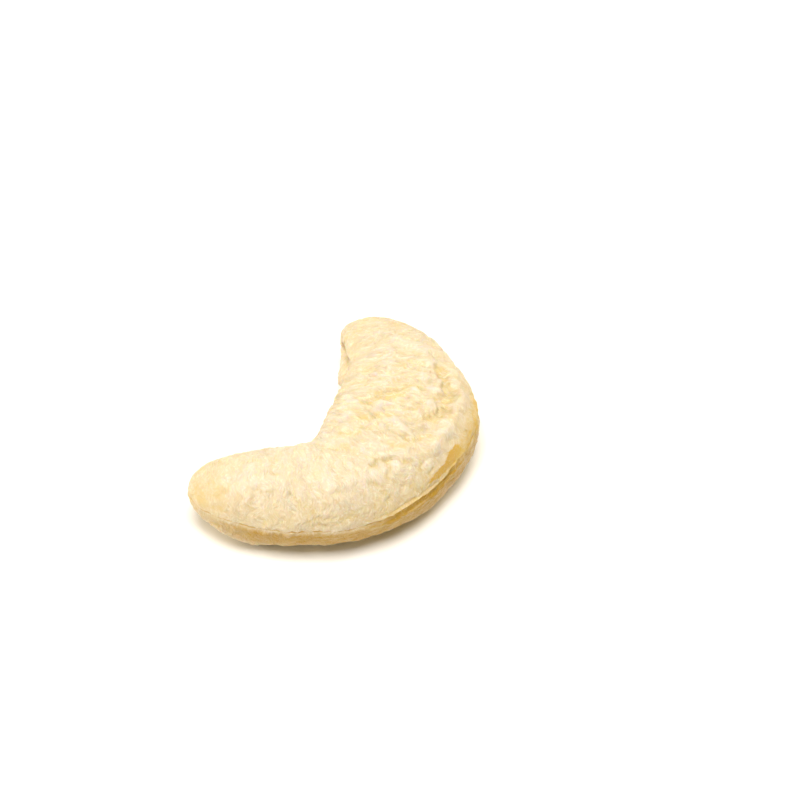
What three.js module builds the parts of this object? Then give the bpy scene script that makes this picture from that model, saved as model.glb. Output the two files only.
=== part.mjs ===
// A cashew kernel: one bent nut of two halves grown together along a seam, lying on its broad side.
// Millimetres, +Z up. +X runs from the pointed tip to the blunt tip, and the hollow side faces +Y.
import * as THREE from 'three';

// Sections from the pointed tip to the blunt tip. outer and inner place their edges in the seam's level,
// rise and drop are their heights over and under it, and the square values say how boxy each half is,
// where 2 is an ellipse.
const SECTIONS = [
  { outer: [-14.9, 4.9], inner: [-10.2, 6.0], rise: 3.0, drop: 3.6, squareTop: 2.2, squareBase: 2.2 },
  { outer: [-13.2, -1.3], inner: [-7.6, 2.9], rise: 3.9, drop: 4.7, squareTop: 2.2, squareBase: 2.1 },
  { outer: [-7.4, -8.4], inner: [-3.6, 0.0], rise: 4.1, drop: 4.5, squareTop: 2.3, squareBase: 2.1 },
  { outer: [0.6, -11.0], inner: [-0.6, 0.6], rise: 4.4, drop: 4.95, squareTop: 2.4, squareBase: 2.6 },
  { outer: [8.9, -9.1], inner: [2.5, 1.7], rise: 3.8, drop: 5.1, squareTop: 2.4, squareBase: 2.9 },
  { outer: [13.4, -1.3], inner: [5.8, 4.0], rise: 3.3, drop: 4.9, squareTop: 2.3, squareBase: 2.5 },
  { outer: [14.3, 4.5], inner: [7.3, 8.7], rise: 2.5, drop: 4.0, squareTop: 2.2, squareBase: 2.2 },
];

// How suddenly each tip closes: a larger power makes a blunter end
const POINTED_TIP_POWER = 6.5;
const BLUNT_TIP_POWER = 4;

// Height of the seam over the surface that the kernel lies on
const SEAM_HEIGHT = 5.1;

// Seam round the outer edge: a hairline that dips a little and then opens to a groove round the bend
const HAIRLINE = { depth: 0.14, width: 0.28 };
const GROOVE = { depth: 0.36, width: 0.3, startsAt: 14.5, endsAt: 21.5, fade: 2 };
const LIP = { height: 0.1, offset: 0.75, width: 0.35 };
const SEAM_DIP = { along: 12.8, length: 2.5, depth: 0.25 };

// Cleft back along the hollow side, between two swollen rims, with a crack at its bottom
const CLEFT = { depth: 0.45, width: 0.8, startsAt: 4, endsAt: 33.5, fade: 1.5 };
const CLEFT_CRACK = { depth: 0.25, width: 0.3 };
const CLEFT_RIM = { height: 0.25, offset: 1.8, width: 0.8 };
const CLEFT_SWAY = { size: 0.5, length: 19, sharpness: 3 };

// Rim on the upper face, a little inside the outer edge of the bend, with a valley behind it
const RIM = { height: 0.18, around: 47, width: 0.7, startsAt: 18.5, endsAt: 27, fade: 1.8 };
const VALLEY = { depth: 0.24, around: 57, width: 0.7 };

// Inner edge of the lower half where it swells out into the hollow, under the blunt arm
const LOBE = { along: 31.2, around: 204, height: 0.9, length: 1.6, width: 1.1 };

// Pocket at the blunt tip, where the root of the seedling lies as a small peg
const POCKET = { along: 33.6, around: 182, depth: 0.4, length: 0.9, width: 0.9 };
const ROOT_PEG = { along: 34.1, around: 182, height: 0.35, length: 0.4, width: 0.45 };

// Creases on the upper face, which fan out from the hollow: [along, around] at each end
const CREASES = [
  { from: [12.4, 120], to: [14.0, 96], depth: 0.18 },
  { from: [15.0, 132], to: [17.5, 125], depth: 0.2 },
  { from: [15.0, 113], to: [15.8, 95], depth: 0.16 },
  { from: [17.0, 122], to: [19.1, 101], depth: 0.2 },
  { from: [20.7, 114], to: [23.1, 96], depth: 0.18 },
  { from: [18.2, 68], to: [19.6, 60], depth: 0.2 },
  { from: [15.3, 63], to: [16.4, 60], depth: 0.16 },
  { from: [5.9, 29], to: [6.4, 16], depth: 0.12 },
  { from: [8.4, 51], to: [8.8, 27], depth: 0.12 },
  { from: [13.4, 246], to: [16.0, 262], depth: 0.2 },
  { from: [18.0, 236], to: [20.5, 255], depth: 0.2 },
  { from: [22.6, 240], to: [25.0, 262], depth: 0.16 },
];
const CREASE_WIDTH = 0.45;

// Slow unevenness of the whole surface
const UNEVENNESS = { height: 0.09, length: 7.5, turns: 3 };

// Low spots that the kernel lies on, one under each arm and one under the bend
const LOW_SPOTS = [
  { along: 6, around: 270, height: 0.82 },
  { along: 17.5, around: 296, height: 0.65 },
  { along: 29.3, around: 270, height: 0.6 },
];
const LOW_SPOT_SIZE = { length: 2.2, width: 2.2 };

// Mean radius of a section, which turns an angle round it into a distance
const GIRTH_RADIUS = 5;

// Mesh fineness. The upper half has more steps than the underside, and both crowd towards the seam.
const STEPS_ALONG = 74;
const STEPS_OVER = 34;
const STEPS_UNDER = 24;
const CROWDING_OVER = 0.4;
const CROWDING_UNDER = 0.45;
const TIP_FADE = 1.2;
const ARC_SAMPLES = 400;

const KERNEL_COLOUR = '#f3dcae';

// Curves through the sections, all read at the same parameter t from 0 to 1. The spine runs midway.
const outerEdge = curveThrough((section) => section.outer);
const innerEdge = curveThrough((section) => section.inner);
const heights = curveThrough((section) => [section.rise, section.drop]);
const squares = curveThrough((section) => [section.squareTop, section.squareBase]);
const spine = curveThrough(({ outer, inner }) => [(outer[0] + inner[0]) / 2, (outer[1] + inner[1]) / 2]);
const arcLengths = spine.getLengths(ARC_SAMPLES);
const spineLength = arcLengths[ARC_SAMPLES];

// Smooth curve through one pair of sizes of every section
function curveThrough(pairOf) {
  return new THREE.SplineCurve(SECTIONS.map((section) => new THREE.Vector2(...pairOf(section))));
}

// Distance from the pointed tip along the spine, in millimetres
function alongAt(t) {
  const place = t * ARC_SAMPLES;
  const index = Math.min(Math.floor(place), ARC_SAMPLES - 1);
  return THREE.MathUtils.lerp(arcLengths[index], arcLengths[index + 1], place - index);
}

// A soft bump, 1 at its middle
function bump(distance, width) {
  return Math.exp(-((distance / width) ** 2));
}

// Distance round the section between two angles in degrees
function girthDistance(around, middle) {
  const difference = THREE.MathUtils.euclideanModulo(around - middle + 180, 360) - 180;
  return THREE.MathUtils.degToRad(difference) * GIRTH_RADIUS;
}

// A soft spot on the surface, 1 at its middle
function spot(along, around, { along: middle, around: turn, length, width }) {
  return bump(along - middle, length) * bump(girthDistance(around, turn), width);
}

// 1 between two places along the kernel and 0 beyond them, with a fade to each side of both
function span(along, { startsAt, endsAt, fade }) {
  const enter = THREE.MathUtils.smoothstep(along, startsAt - fade, startsAt + fade);
  const leave = THREE.MathUtils.smoothstep(along, endsAt - fade, endsAt + fade);
  return enter * (1 - leave);
}

// 0 at both tips and 1 a short way in
function tipFade(along) {
  return THREE.MathUtils.smoothstep(Math.min(along, spineLength - along), 0, TIP_FADE);
}

// Outer seam: lips on both sides of a hairline that opens to a groove
function outerSeam(along, height) {
  const open = span(along, GROOVE);
  const depth = THREE.MathUtils.lerp(HAIRLINE.depth, GROOVE.depth, open);
  const width = THREE.MathUtils.lerp(HAIRLINE.width, GROOVE.width, open);
  const offset = height + SEAM_DIP.depth * bump(along - SEAM_DIP.along, SEAM_DIP.length);
  const lips = bump(Math.abs(offset) - LIP.offset, LIP.width) * LIP.height * open;
  return lips - depth * bump(offset, width);
}

// Cleft along the hollow side, with its rims and crack
function innerCleft(along, height) {
  const rims = CLEFT_RIM.height * bump(Math.abs(height) - CLEFT_RIM.offset, CLEFT_RIM.width);
  const cleft = CLEFT.depth * bump(height, CLEFT.width);
  const crack = CLEFT_CRACK.depth * bump(height, CLEFT_CRACK.width);
  return (rims - cleft - crack) * span(along, CLEFT);
}

// How far the hollow side is lifted, so that its cleft sways to both sides of the seam's level
function sway(along, cosine) {
  const inward = Math.max(0, -cosine) ** CLEFT_SWAY.sharpness;
  const wave = Math.sin((2 * Math.PI * along) / CLEFT_SWAY.length);
  return CLEFT_SWAY.size * wave * inward * tipFade(along);
}

// Rim and valley on the upper face, parallel to the outer edge of the bend
function upperRim(along, around) {
  const rim = RIM.height * bump(girthDistance(around, RIM.around), RIM.width);
  const valley = VALLEY.depth * bump(girthDistance(around, VALLEY.around), VALLEY.width);
  return (rim - valley) * span(along, RIM);
}

// Distance on the surface from a point to a crease
function creaseDistance(along, around, { from, to }) {
  const start = new THREE.Vector2(from[0], girthDistance(from[1], 90));
  const end = new THREE.Vector2(to[0], girthDistance(to[1], 90));
  const point = new THREE.Vector2(along, girthDistance(around, 90));
  const run = end.clone().sub(start);
  const share = THREE.MathUtils.clamp(point.clone().sub(start).dot(run) / run.lengthSq(), 0, 1);
  return start.addScaledVector(run, share).distanceTo(point);
}

function creases(along, around) {
  let sum = 0;
  for (const crease of CREASES) {
    sum -= crease.depth * bump(creaseDistance(along, around, crease), CREASE_WIDTH);
  }
  return sum;
}

function unevenness(along, around) {
  const turn = THREE.MathUtils.degToRad(around);
  const wave = Math.sin((2 * Math.PI * along) / UNEVENNESS.length + Math.cos(turn));
  return UNEVENNESS.height * wave * Math.cos(UNEVENNESS.turns * turn);
}

function lowSpots(along, around) {
  let sum = 0;
  for (const low of LOW_SPOTS) {
    sum += low.height * spot(along, around, { ...low, ...LOW_SPOT_SIZE });
  }
  return sum;
}

// How far the surface stands out from the smooth form. Height is measured from the seam.
function relief(along, around, height) {
  const outward = Math.cos(THREE.MathUtils.degToRad(around));
  const seams = outward > 0 ? outerSeam(along, height) : innerCleft(along, height);
  const lobe = LOBE.height * spot(along, around, LOBE);
  const peg = ROOT_PEG.height * spot(along, around, ROOT_PEG);
  const pocket = POCKET.depth * spot(along, around, POCKET);
  const skin = upperRim(along, around) + creases(along, around) + unevenness(along, around);
  const swellings = lobe + peg - pocket + lowSpots(along, around);
  return (seams * Math.abs(outward) + swellings + skin) * tipFade(along);
}

// Share of a section's full size near the tips, 0 at each tip
function closing(t) {
  const power = t < 0.5 ? POINTED_TIP_POWER : BLUNT_TIP_POWER;
  return Math.sqrt(Math.max(0, 1 - Math.abs(2 * t - 1) ** power));
}

// Surface point at parameter t and angle around: 0 is the outer edge, 90 the top and 180 the hollow side
function surfacePoint(t, around) {
  const cosine = Math.cos(THREE.MathUtils.degToRad(around));
  const sine = Math.sin(THREE.MathUtils.degToRad(around));
  const upper = sine >= 0;
  const sizes = heights.getPoint(t);
  const powers = squares.getPoint(t);
  const power = upper ? powers.x : powers.y;
  const middle = spine.getPoint(t);
  const across = outerEdge.getPoint(t).sub(middle);
  const width = across.length() * closing(t);
  const depth = (upper ? sizes.x : sizes.y) * closing(t);
  const radius = (Math.abs(cosine) ** power + Math.abs(sine) ** power) ** (-1 / power);
  const point = new THREE.Vector2(width * radius * cosine, depth * radius * sine);
  const slopeAcross = Math.sign(cosine) * Math.abs(cosine) ** (power - 1) * depth;
  const slopeUp = Math.sign(sine) * Math.abs(sine) ** (power - 1) * width;
  const facing = new THREE.Vector2(slopeAcross, slopeUp).normalize();
  const along = alongAt(t);
  point.addScaledVector(facing, relief(along, around, point.y));
  point.y += sway(along, cosine);
  middle.addScaledVector(across.normalize(), point.x);
  return [middle.x, middle.y, Math.max(0, SEAM_HEIGHT + point.y)];
}

// Angles of one half turn in degrees, crowded towards both ends of it
function halfTurn(start, steps, crowding) {
  const angles = [];
  for (let step = 0; step < steps; step += 1) {
    const even = (Math.PI * step) / steps;
    angles.push(start + THREE.MathUtils.radToDeg(even - 0.5 * crowding * Math.sin(2 * even)));
  }
  return angles;
}

// Parameter of each ring of vertices, crowded towards the tips
function ringParameters() {
  const parameters = [];
  for (let ring = 1; ring < STEPS_ALONG; ring += 1) {
    const place = (2 * ring) / STEPS_ALONG - 1;
    parameters.push(0.5 + (place * (5 - place ** 4)) / 8);
  }
  return parameters;
}

// Rings of vertices from tip to tip, with one vertex at each tip
function kernelGeometry() {
  const angles = [...halfTurn(0, STEPS_OVER, CROWDING_OVER), ...halfTurn(180, STEPS_UNDER, CROWDING_UNDER)];
  const rings = ringParameters();
  const sides = angles.length;
  const vertices = [];
  for (const t of rings) {
    for (const around of angles) {
      vertices.push(...surfacePoint(t, around));
    }
  }
  const pointedTip = rings.length * sides;
  const bluntTip = pointedTip + 1;
  for (const tip of [spine.getPoint(0), spine.getPoint(1)]) {
    vertices.push(tip.x, tip.y, SEAM_HEIGHT);
  }
  const faces = [];
  const lastRing = (rings.length - 1) * sides;
  for (let side = 0; side < sides; side += 1) {
    const next = (side + 1) % sides;
    faces.push(pointedTip, side, next);
    faces.push(lastRing + side, bluntTip, lastRing + next);
    for (let ring = 0; ring < lastRing; ring += sides) {
      faces.push(ring + side, ring + sides + side, ring + sides + next);
      faces.push(ring + side, ring + sides + next, ring + next);
    }
  }
  const geometry = new THREE.BufferGeometry();
  geometry.setAttribute('position', new THREE.Float32BufferAttribute(vertices, 3));
  geometry.setIndex(faces);
  return geometry;
}

// The origin is the middle of the kernel's outline, on the surface that it lies on
function centred(geometry) {
  geometry.computeBoundingBox();
  const middle = geometry.boundingBox.getCenter(new THREE.Vector3());
  geometry.translate(-middle.x, -middle.y, 0);
  geometry.computeVertexNormals();
  return geometry;
}

const finish = new THREE.MeshStandardMaterial({ color: KERNEL_COLOUR, roughness: 0.55, metalness: 0 });
const kernel = new THREE.Mesh(centred(kernelGeometry()), finish);
kernel.name = 'cashew_kernel';

const group = new THREE.Group();
group.add(kernel);
export default group;
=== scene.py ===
"""A cashew kernel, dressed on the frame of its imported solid.

The kernel's form follows the same named sizes as its source. Sizes are in millimetres, and each
mesh is in metres, with +Z up.
"""

import logging
import math
from dataclasses import dataclass, field, fields, replace
from enum import Enum
from typing import Optional, Sequence, Union

import bpy
import numpy as np
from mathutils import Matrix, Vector


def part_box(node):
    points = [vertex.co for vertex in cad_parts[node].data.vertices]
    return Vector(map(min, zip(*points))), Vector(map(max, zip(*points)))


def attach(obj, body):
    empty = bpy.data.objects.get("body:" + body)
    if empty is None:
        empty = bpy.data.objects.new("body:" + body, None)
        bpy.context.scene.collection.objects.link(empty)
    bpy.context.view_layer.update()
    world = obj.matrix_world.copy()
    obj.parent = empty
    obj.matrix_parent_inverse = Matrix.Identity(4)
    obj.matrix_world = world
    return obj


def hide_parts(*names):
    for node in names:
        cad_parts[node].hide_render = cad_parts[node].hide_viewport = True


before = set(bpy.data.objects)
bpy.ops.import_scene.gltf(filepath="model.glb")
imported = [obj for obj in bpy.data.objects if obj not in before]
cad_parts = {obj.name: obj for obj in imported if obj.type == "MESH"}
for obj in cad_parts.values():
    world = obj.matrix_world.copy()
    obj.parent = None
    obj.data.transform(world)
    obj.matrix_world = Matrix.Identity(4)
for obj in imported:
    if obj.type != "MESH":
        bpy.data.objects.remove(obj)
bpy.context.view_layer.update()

LOG = logging.getLogger("cashew")
MM = 0.001
TURN = 2.0 * math.pi

Socket = bpy.types.NodeSocket
Given = Union[Socket, float, int, bool, Sequence[float], bpy.types.Material]
Colour = tuple[float, float, float]
Sizes = tuple[float, float, float]


class Trait(Enum):
    """Values that every point of the surface carries for its relief and its colours."""

    UNBENT = "unbent"
    FOLDS = "folds"
    CRUMPLED = "crumpled"
    WRINKLED = "wrinkled"
    RIPPLED = "rippled"
    SMOOTH = "smooth"
    GOLD = "gold"
    CRACK = "crack"
    LIP = "lip"
    TIP = "tip"
    # Lower band under the seam: golden flesh with painted shade.
    LOWER = "lower"
    PATCH = "patch"
    # Creases: their yellow is partly the skin's own colour and partly painted shade.
    CREASED = "creased"
    # Golden band by the seam, and a painted glow near it.
    HONEY = "honey"
    BARE = "bare"
    CREST = "crest"


def bump(distance: np.ndarray, width: float) -> np.ndarray:
    """Makes a soft bump, 1 at its middle.

    Args:
        distance: Distance from the middle.
        width: Distance at which the bump has sunk to about a third.

    Returns:
        The bump's height at each distance.
    """
    return np.exp(-((distance / width) ** 2))


def smooth_step(value: np.ndarray, low: float, high: float) -> np.ndarray:
    """Rises smoothly from 0 to 1 between two values.

    Args:
        value: Where the step is read.
        low: Value at which it starts.
        high: Value at which it ends.

    Returns:
        The step's height at each value.
    """
    share = np.clip((value - low) / (high - low), 0.0, 1.0)
    return share * share * (3.0 - 2.0 * share)


def girth_distance(around: np.ndarray, middle: float, radius: float) -> np.ndarray:
    """Measures the distance round a section between two angles.

    Args:
        around: Angles in degrees.
        middle: Angle that the distance is measured from, in degrees.
        radius: Mean radius of the section.

    Returns:
        Signed distances round the section.
    """
    return np.radians((around - middle + 180.0) % 360.0 - 180.0) * radius


def at_least(share: np.ndarray, least: float) -> np.ndarray:
    """Squeezes a share, so that it starts at its least value and still ends at 1."""
    return least + (1.0 - least) * share


@dataclass(frozen=True)
class Ramp:
    """Smooth rise from 0 at one value to 1 at another."""

    low: float
    high: float

    def rise(self, value: np.ndarray) -> np.ndarray:
        """Reads the rise at each value."""
        return smooth_step(value, self.low, self.high)


@dataclass(frozen=True)
class Stretch:
    """Stretch of the kernel between two places along it, with a fade to each side of both."""

    starts_at: float
    ends_at: float
    fade: float

    def mask(self, along: np.ndarray) -> np.ndarray:
        """Tells how much each place belongs to the stretch.

        Args:
            along: Distances from the pointed tip.

        Returns:
            1 inside the stretch and 0 outside it.
        """
        enter = smooth_step(along, self.starts_at - self.fade, self.starts_at + self.fade)
        leave = smooth_step(along, self.ends_at - self.fade, self.ends_at + self.fade)
        return enter * (1.0 - leave)


@dataclass(frozen=True)
class Spot:
    """Soft spot on the surface, placed along the kernel and by its angle round it in degrees."""

    along: float
    around: float
    height: float
    length: float
    width: float

    def relief(self, surface: "Surface") -> np.ndarray:
        """Raises the surface at the spot.

        Args:
            surface: Places on the surface.

        Returns:
            The height of the spot at each place.
        """
        near = bump(surface.along - self.along, self.length)
        return self.height * near * bump(surface.girth_from(self.around), self.width)


@dataclass(frozen=True)
class Crease:
    """Crease along a path of places, each given along the kernel and as an angle round it."""

    path: tuple[tuple[float, float], ...]
    depth: float
    width: float = 0.4
    middle: float = 90.0

    def relief(self, surface: "Surface") -> np.ndarray:
        """Sinks the surface along the path, or raises it if the depth is below 0.

        Args:
            surface: Places on the surface.

        Returns:
            Height of the relief.
        """
        place = np.stack([surface.along, surface.girth_from(self.middle)], axis=-1)
        radius = surface.girth_radius
        corners = [
            np.array([along, girth_distance(around, self.middle, radius)])
            for along, around in self.path
        ]
        away = np.full(surface.along.shape, np.inf)
        for start, end in zip(corners, corners[1:]):
            run = end - start
            share = np.clip(((place - start) @ run) / (run @ run), 0.0, 1.0)
            nearest = start + share[..., None] * run
            away = np.minimum(away, np.linalg.norm(place - nearest, axis=-1))
        return -self.depth * bump(away, self.width)


@dataclass(frozen=True)
class Section:
    """Section across the kernel: its edges in the seam's level, its heights and its boxiness."""

    outer: tuple[float, float]
    inner: tuple[float, float]
    rise: float
    drop: float
    square_top: float
    square_base: float


@dataclass
class Surface:
    """Places on the smooth surface, before any relief."""

    along: np.ndarray
    around: np.ndarray
    across: np.ndarray
    height: np.ndarray
    girth_radius: float
    length: float

    @property
    def outward(self) -> np.ndarray:
        """Cosine of the angle round the section: 1 on the outer edge, -1 on the hollow side."""
        return np.cos(np.radians(self.around))

    def girth_from(self, middle: float) -> np.ndarray:
        """Measures the distance round the section from an angle.

        Args:
            middle: The angle in degrees.

        Returns:
            Signed distance of each place.
        """
        return girth_distance(self.around, middle, self.girth_radius)

    def tip_fade(self, reach: float) -> np.ndarray:
        """Fades to 0 at both tips.

        Args:
            reach: Distance from a tip at which the fade ends.

        Returns:
            0 at the tips and 1 further in.
        """
        return smooth_step(np.minimum(self.along, self.length - self.along), 0.0, reach)


@dataclass(frozen=True)
class OuterSeam:
    """Seam round the outer edge: a broken hairline that opens to a golden groove at the bend."""

    dip_along: float = 12.8
    dip_length: float = 2.5
    dip_depth: float = 0.25
    rise_starts: float = 17.8
    rise_ends: float = 22.5
    rise_height: float = 0.6
    sway: float = 0.06
    sway_length: float = 3.1
    shiver: float = 0.02
    shiver_length: float = 0.7
    sway_drift: float = 0.9
    shiver_drift: float = 1.7
    shiver_swing: float = 2.0
    hairline_depth: float = 0.08
    hairline_width: float = 0.05
    hairline_shoulder: float = 0.025
    shoulder_width: float = 0.32
    break_length: float = 2.3
    break_drift: float = 1.1
    break_edge: Ramp = Ramp(-0.8, -0.1)
    closed_share: float = 0.35
    groove: Stretch = Stretch(starts_at=13.8, ends_at=20.6, fade=1.3)
    groove_depth: float = 0.2
    floor_top: float = 0.24
    floor_base: float = 0.55
    wall_top: float = 0.04
    wall_base: float = 0.07
    floor_tilt: float = 0.5
    upper_lip: float = 0.1
    upper_lip_at: float = 0.38
    upper_lip_width: float = 0.12
    second_line: Stretch = Stretch(starts_at=13.2, ends_at=18.4, fade=0.8)
    second_line_depth: float = 0.07
    second_line_at: float = 0.68
    second_line_width: float = 0.1
    lower_lip: float = 0.1
    lower_lip_at: float = 0.72
    lower_lip_width: float = 0.32

    def offset(self, surface: Surface) -> np.ndarray:
        """Measures how high each place is above the seam's own wandering line.

        Args:
            surface: Places on the surface.

        Returns:
            Height above the line.
        """
        along = surface.along
        dip = self.dip_depth * bump(along - self.dip_along, self.dip_length)
        rise = self.rise_height * smooth_step(along, self.rise_starts, self.rise_ends)
        wave = np.sin(TURN * along / self.sway_length + np.sin(self.sway_drift * along))
        drift = self.shiver_swing * np.sin(self.shiver_drift * along)
        tremble = np.sin(TURN * along / self.shiver_length + drift)
        return surface.height + dip - rise - self.sway * wave - self.shiver * tremble

    def hairline(self, surface: Surface) -> np.ndarray:
        """Draws the hairline, which is nearly closed in places.

        Args:
            surface: Places on the surface.

        Returns:
            1 in the open hairline.
        """
        along = surface.along
        beat = np.sin(TURN * along / self.break_length + self.break_drift * along)
        open_share = at_least(self.break_edge.rise(beat), self.closed_share)
        return bump(self.offset(surface), self.hairline_width) * open_share

    def floor(self, surface: Surface) -> np.ndarray:
        """Draws the open groove's flat floor.

        Args:
            surface: Places on the surface.

        Returns:
            1 on the floor.
        """
        offset = self.offset(surface)
        top = 0.5 - 0.5 * np.tanh((offset - self.floor_top) / self.wall_top)
        base = 0.5 + 0.5 * np.tanh((offset + self.floor_base) / self.wall_base)
        return top * base * self.groove.mask(surface.along)

    def second(self, surface: Surface) -> np.ndarray:
        """Draws the thin line that runs above the open groove.

        Args:
            surface: Places on the surface.

        Returns:
            1 in the line.
        """
        line = bump(self.offset(surface) - self.second_line_at, self.second_line_width)
        return line * self.second_line.mask(surface.along)

    def relief(self, surface: Surface) -> np.ndarray:
        """Cuts the seam and raises its lips.

        Args:
            surface: Places on the surface.

        Returns:
            Height of the relief, on the outer side alone.
        """
        offset = self.offset(surface)
        is_open = self.groove.mask(surface.along)
        shoulder = self.hairline_shoulder * bump(offset, self.shoulder_width)
        thin = self.hairline_depth * self.hairline(surface) + shoulder
        second = self.second_line_depth * self.second(surface)
        upper = self.upper_lip * bump(offset - self.upper_lip_at, self.upper_lip_width)
        lower = self.lower_lip * bump(offset + self.lower_lip_at, self.lower_lip_width)
        opened = upper + lower - second
        down = np.clip((self.floor_top - offset) / (self.floor_top + self.floor_base), 0.0, 1.0)
        shelf = self.groove_depth * self.floor(surface) * (1.0 - self.floor_tilt * down)
        cut = shelf + thin * (1.0 - is_open)
        return (opened * is_open - cut) * np.maximum(surface.outward, 0.0)


@dataclass(frozen=True)
class HollowCleft:
    """Cleft back along the hollow side, between two swollen rims, with a crack at its bottom."""

    reach: Stretch = Stretch(starts_at=4.0, ends_at=33.5, fade=1.5)
    depth: float = 0.45
    width: float = 0.8
    crack_depth: float = 0.34
    crack_width: float = 0.13
    rim_height: float = 0.25
    rim_offset: float = 1.8
    rim_width: float = 0.8
    sway_size: float = 0.5
    sway_length: float = 19.0
    sharpness: int = 3
    shiver: float = 0.07
    shiver_length: float = 2.1

    def sway(self, surface: Surface, reach: float) -> np.ndarray:
        """Lifts the hollow side, so that its cleft sways to both sides of the seam's level.

        Args:
            surface: Places on the surface.
            reach: Distance from a tip at which the sway is full.

        Returns:
            The lift at each place.
        """
        inward = np.maximum(0.0, -surface.outward) ** self.sharpness
        wave = np.sin(TURN * surface.along / self.sway_length)
        return self.sway_size * wave * inward * surface.tip_fade(reach)

    def crack(self, surface: Surface) -> np.ndarray:
        """Draws the crack at the cleft's bottom.

        Args:
            surface: Places on the surface.

        Returns:
            1 in the crack.
        """
        wave = np.sin(TURN * surface.along / self.shiver_length + np.sin(surface.along))
        line = bump(surface.height - self.shiver * wave, self.crack_width)
        return line * self.reach.mask(surface.along) * (surface.outward < 0.0)

    def relief(self, surface: Surface) -> np.ndarray:
        """Sinks the cleft and swells its rims.

        Args:
            surface: Places on the surface.

        Returns:
            Height of the relief, on the hollow side alone.
        """
        beside = np.abs(surface.height) - self.rim_offset
        rims = self.rim_height * bump(beside, self.rim_width)
        cleft = self.depth * bump(surface.height, self.width)
        cut = (rims - cleft) * self.reach.mask(surface.along)
        return (cut - self.crack_depth * self.crack(surface)) * np.maximum(-surface.outward, 0.0)


@dataclass(frozen=True)
class UpperRim:
    """Rim on the upper face, a little inside the outer edge of the bend, and the valley behind."""

    reach: Stretch = Stretch(starts_at=18.5, ends_at=27.0, fade=1.8)
    height: float = 0.2
    around: float = 47.0
    width: float = 0.7
    valley_depth: float = 0.26
    valley_around: float = 57.0
    valley_width: float = 0.6

    def relief(self, surface: Surface) -> np.ndarray:
        """Raises the rim and sinks the valley.

        Args:
            surface: Places on the surface.

        Returns:
            Height of the relief.
        """
        rim = self.height * bump(surface.girth_from(self.around), self.width)
        valley = self.valley_depth * bump(surface.girth_from(self.valley_around), self.valley_width)
        return (rim - valley) * self.reach.mask(surface.along)


@dataclass(frozen=True)
class FanOfCreases:
    """Creases that fan out from the hollow over both faces, each soft on one side."""

    creases: tuple[Crease, ...] = (
        Crease(path=((12.4, 120.0), (14.0, 96.0)), depth=0.18),
        Crease(path=((15.0, 132.0), (17.5, 125.0)), depth=0.2),
        Crease(path=((15.0, 113.0), (15.8, 95.0)), depth=0.16),
        Crease(path=((17.0, 122.0), (19.1, 101.0)), depth=0.2),
        Crease(path=((20.7, 114.0), (23.1, 96.0)), depth=0.18),
        Crease(path=((18.2, 68.0), (19.6, 60.0)), depth=0.2),
        Crease(path=((15.3, 63.0), (16.4, 60.0)), depth=0.16),
        Crease(path=((5.9, 29.0), (6.4, 16.0)), depth=0.12),
        Crease(path=((8.4, 51.0), (8.8, 27.0)), depth=0.12),
        Crease(path=((13.4, 246.0), (16.0, 262.0)), depth=0.2),
        Crease(path=((18.0, 236.0), (20.5, 255.0)), depth=0.2),
        Crease(path=((22.6, 240.0), (25.0, 262.0)), depth=0.16),
    )

    def relief(self, surface: Surface) -> np.ndarray:
        """Sinks the creases.

        Args:
            surface: Places on the surface.

        Returns:
            Height of the relief, which is never above 0.
        """
        return sum(crease.relief(surface) for crease in self.creases)


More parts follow.
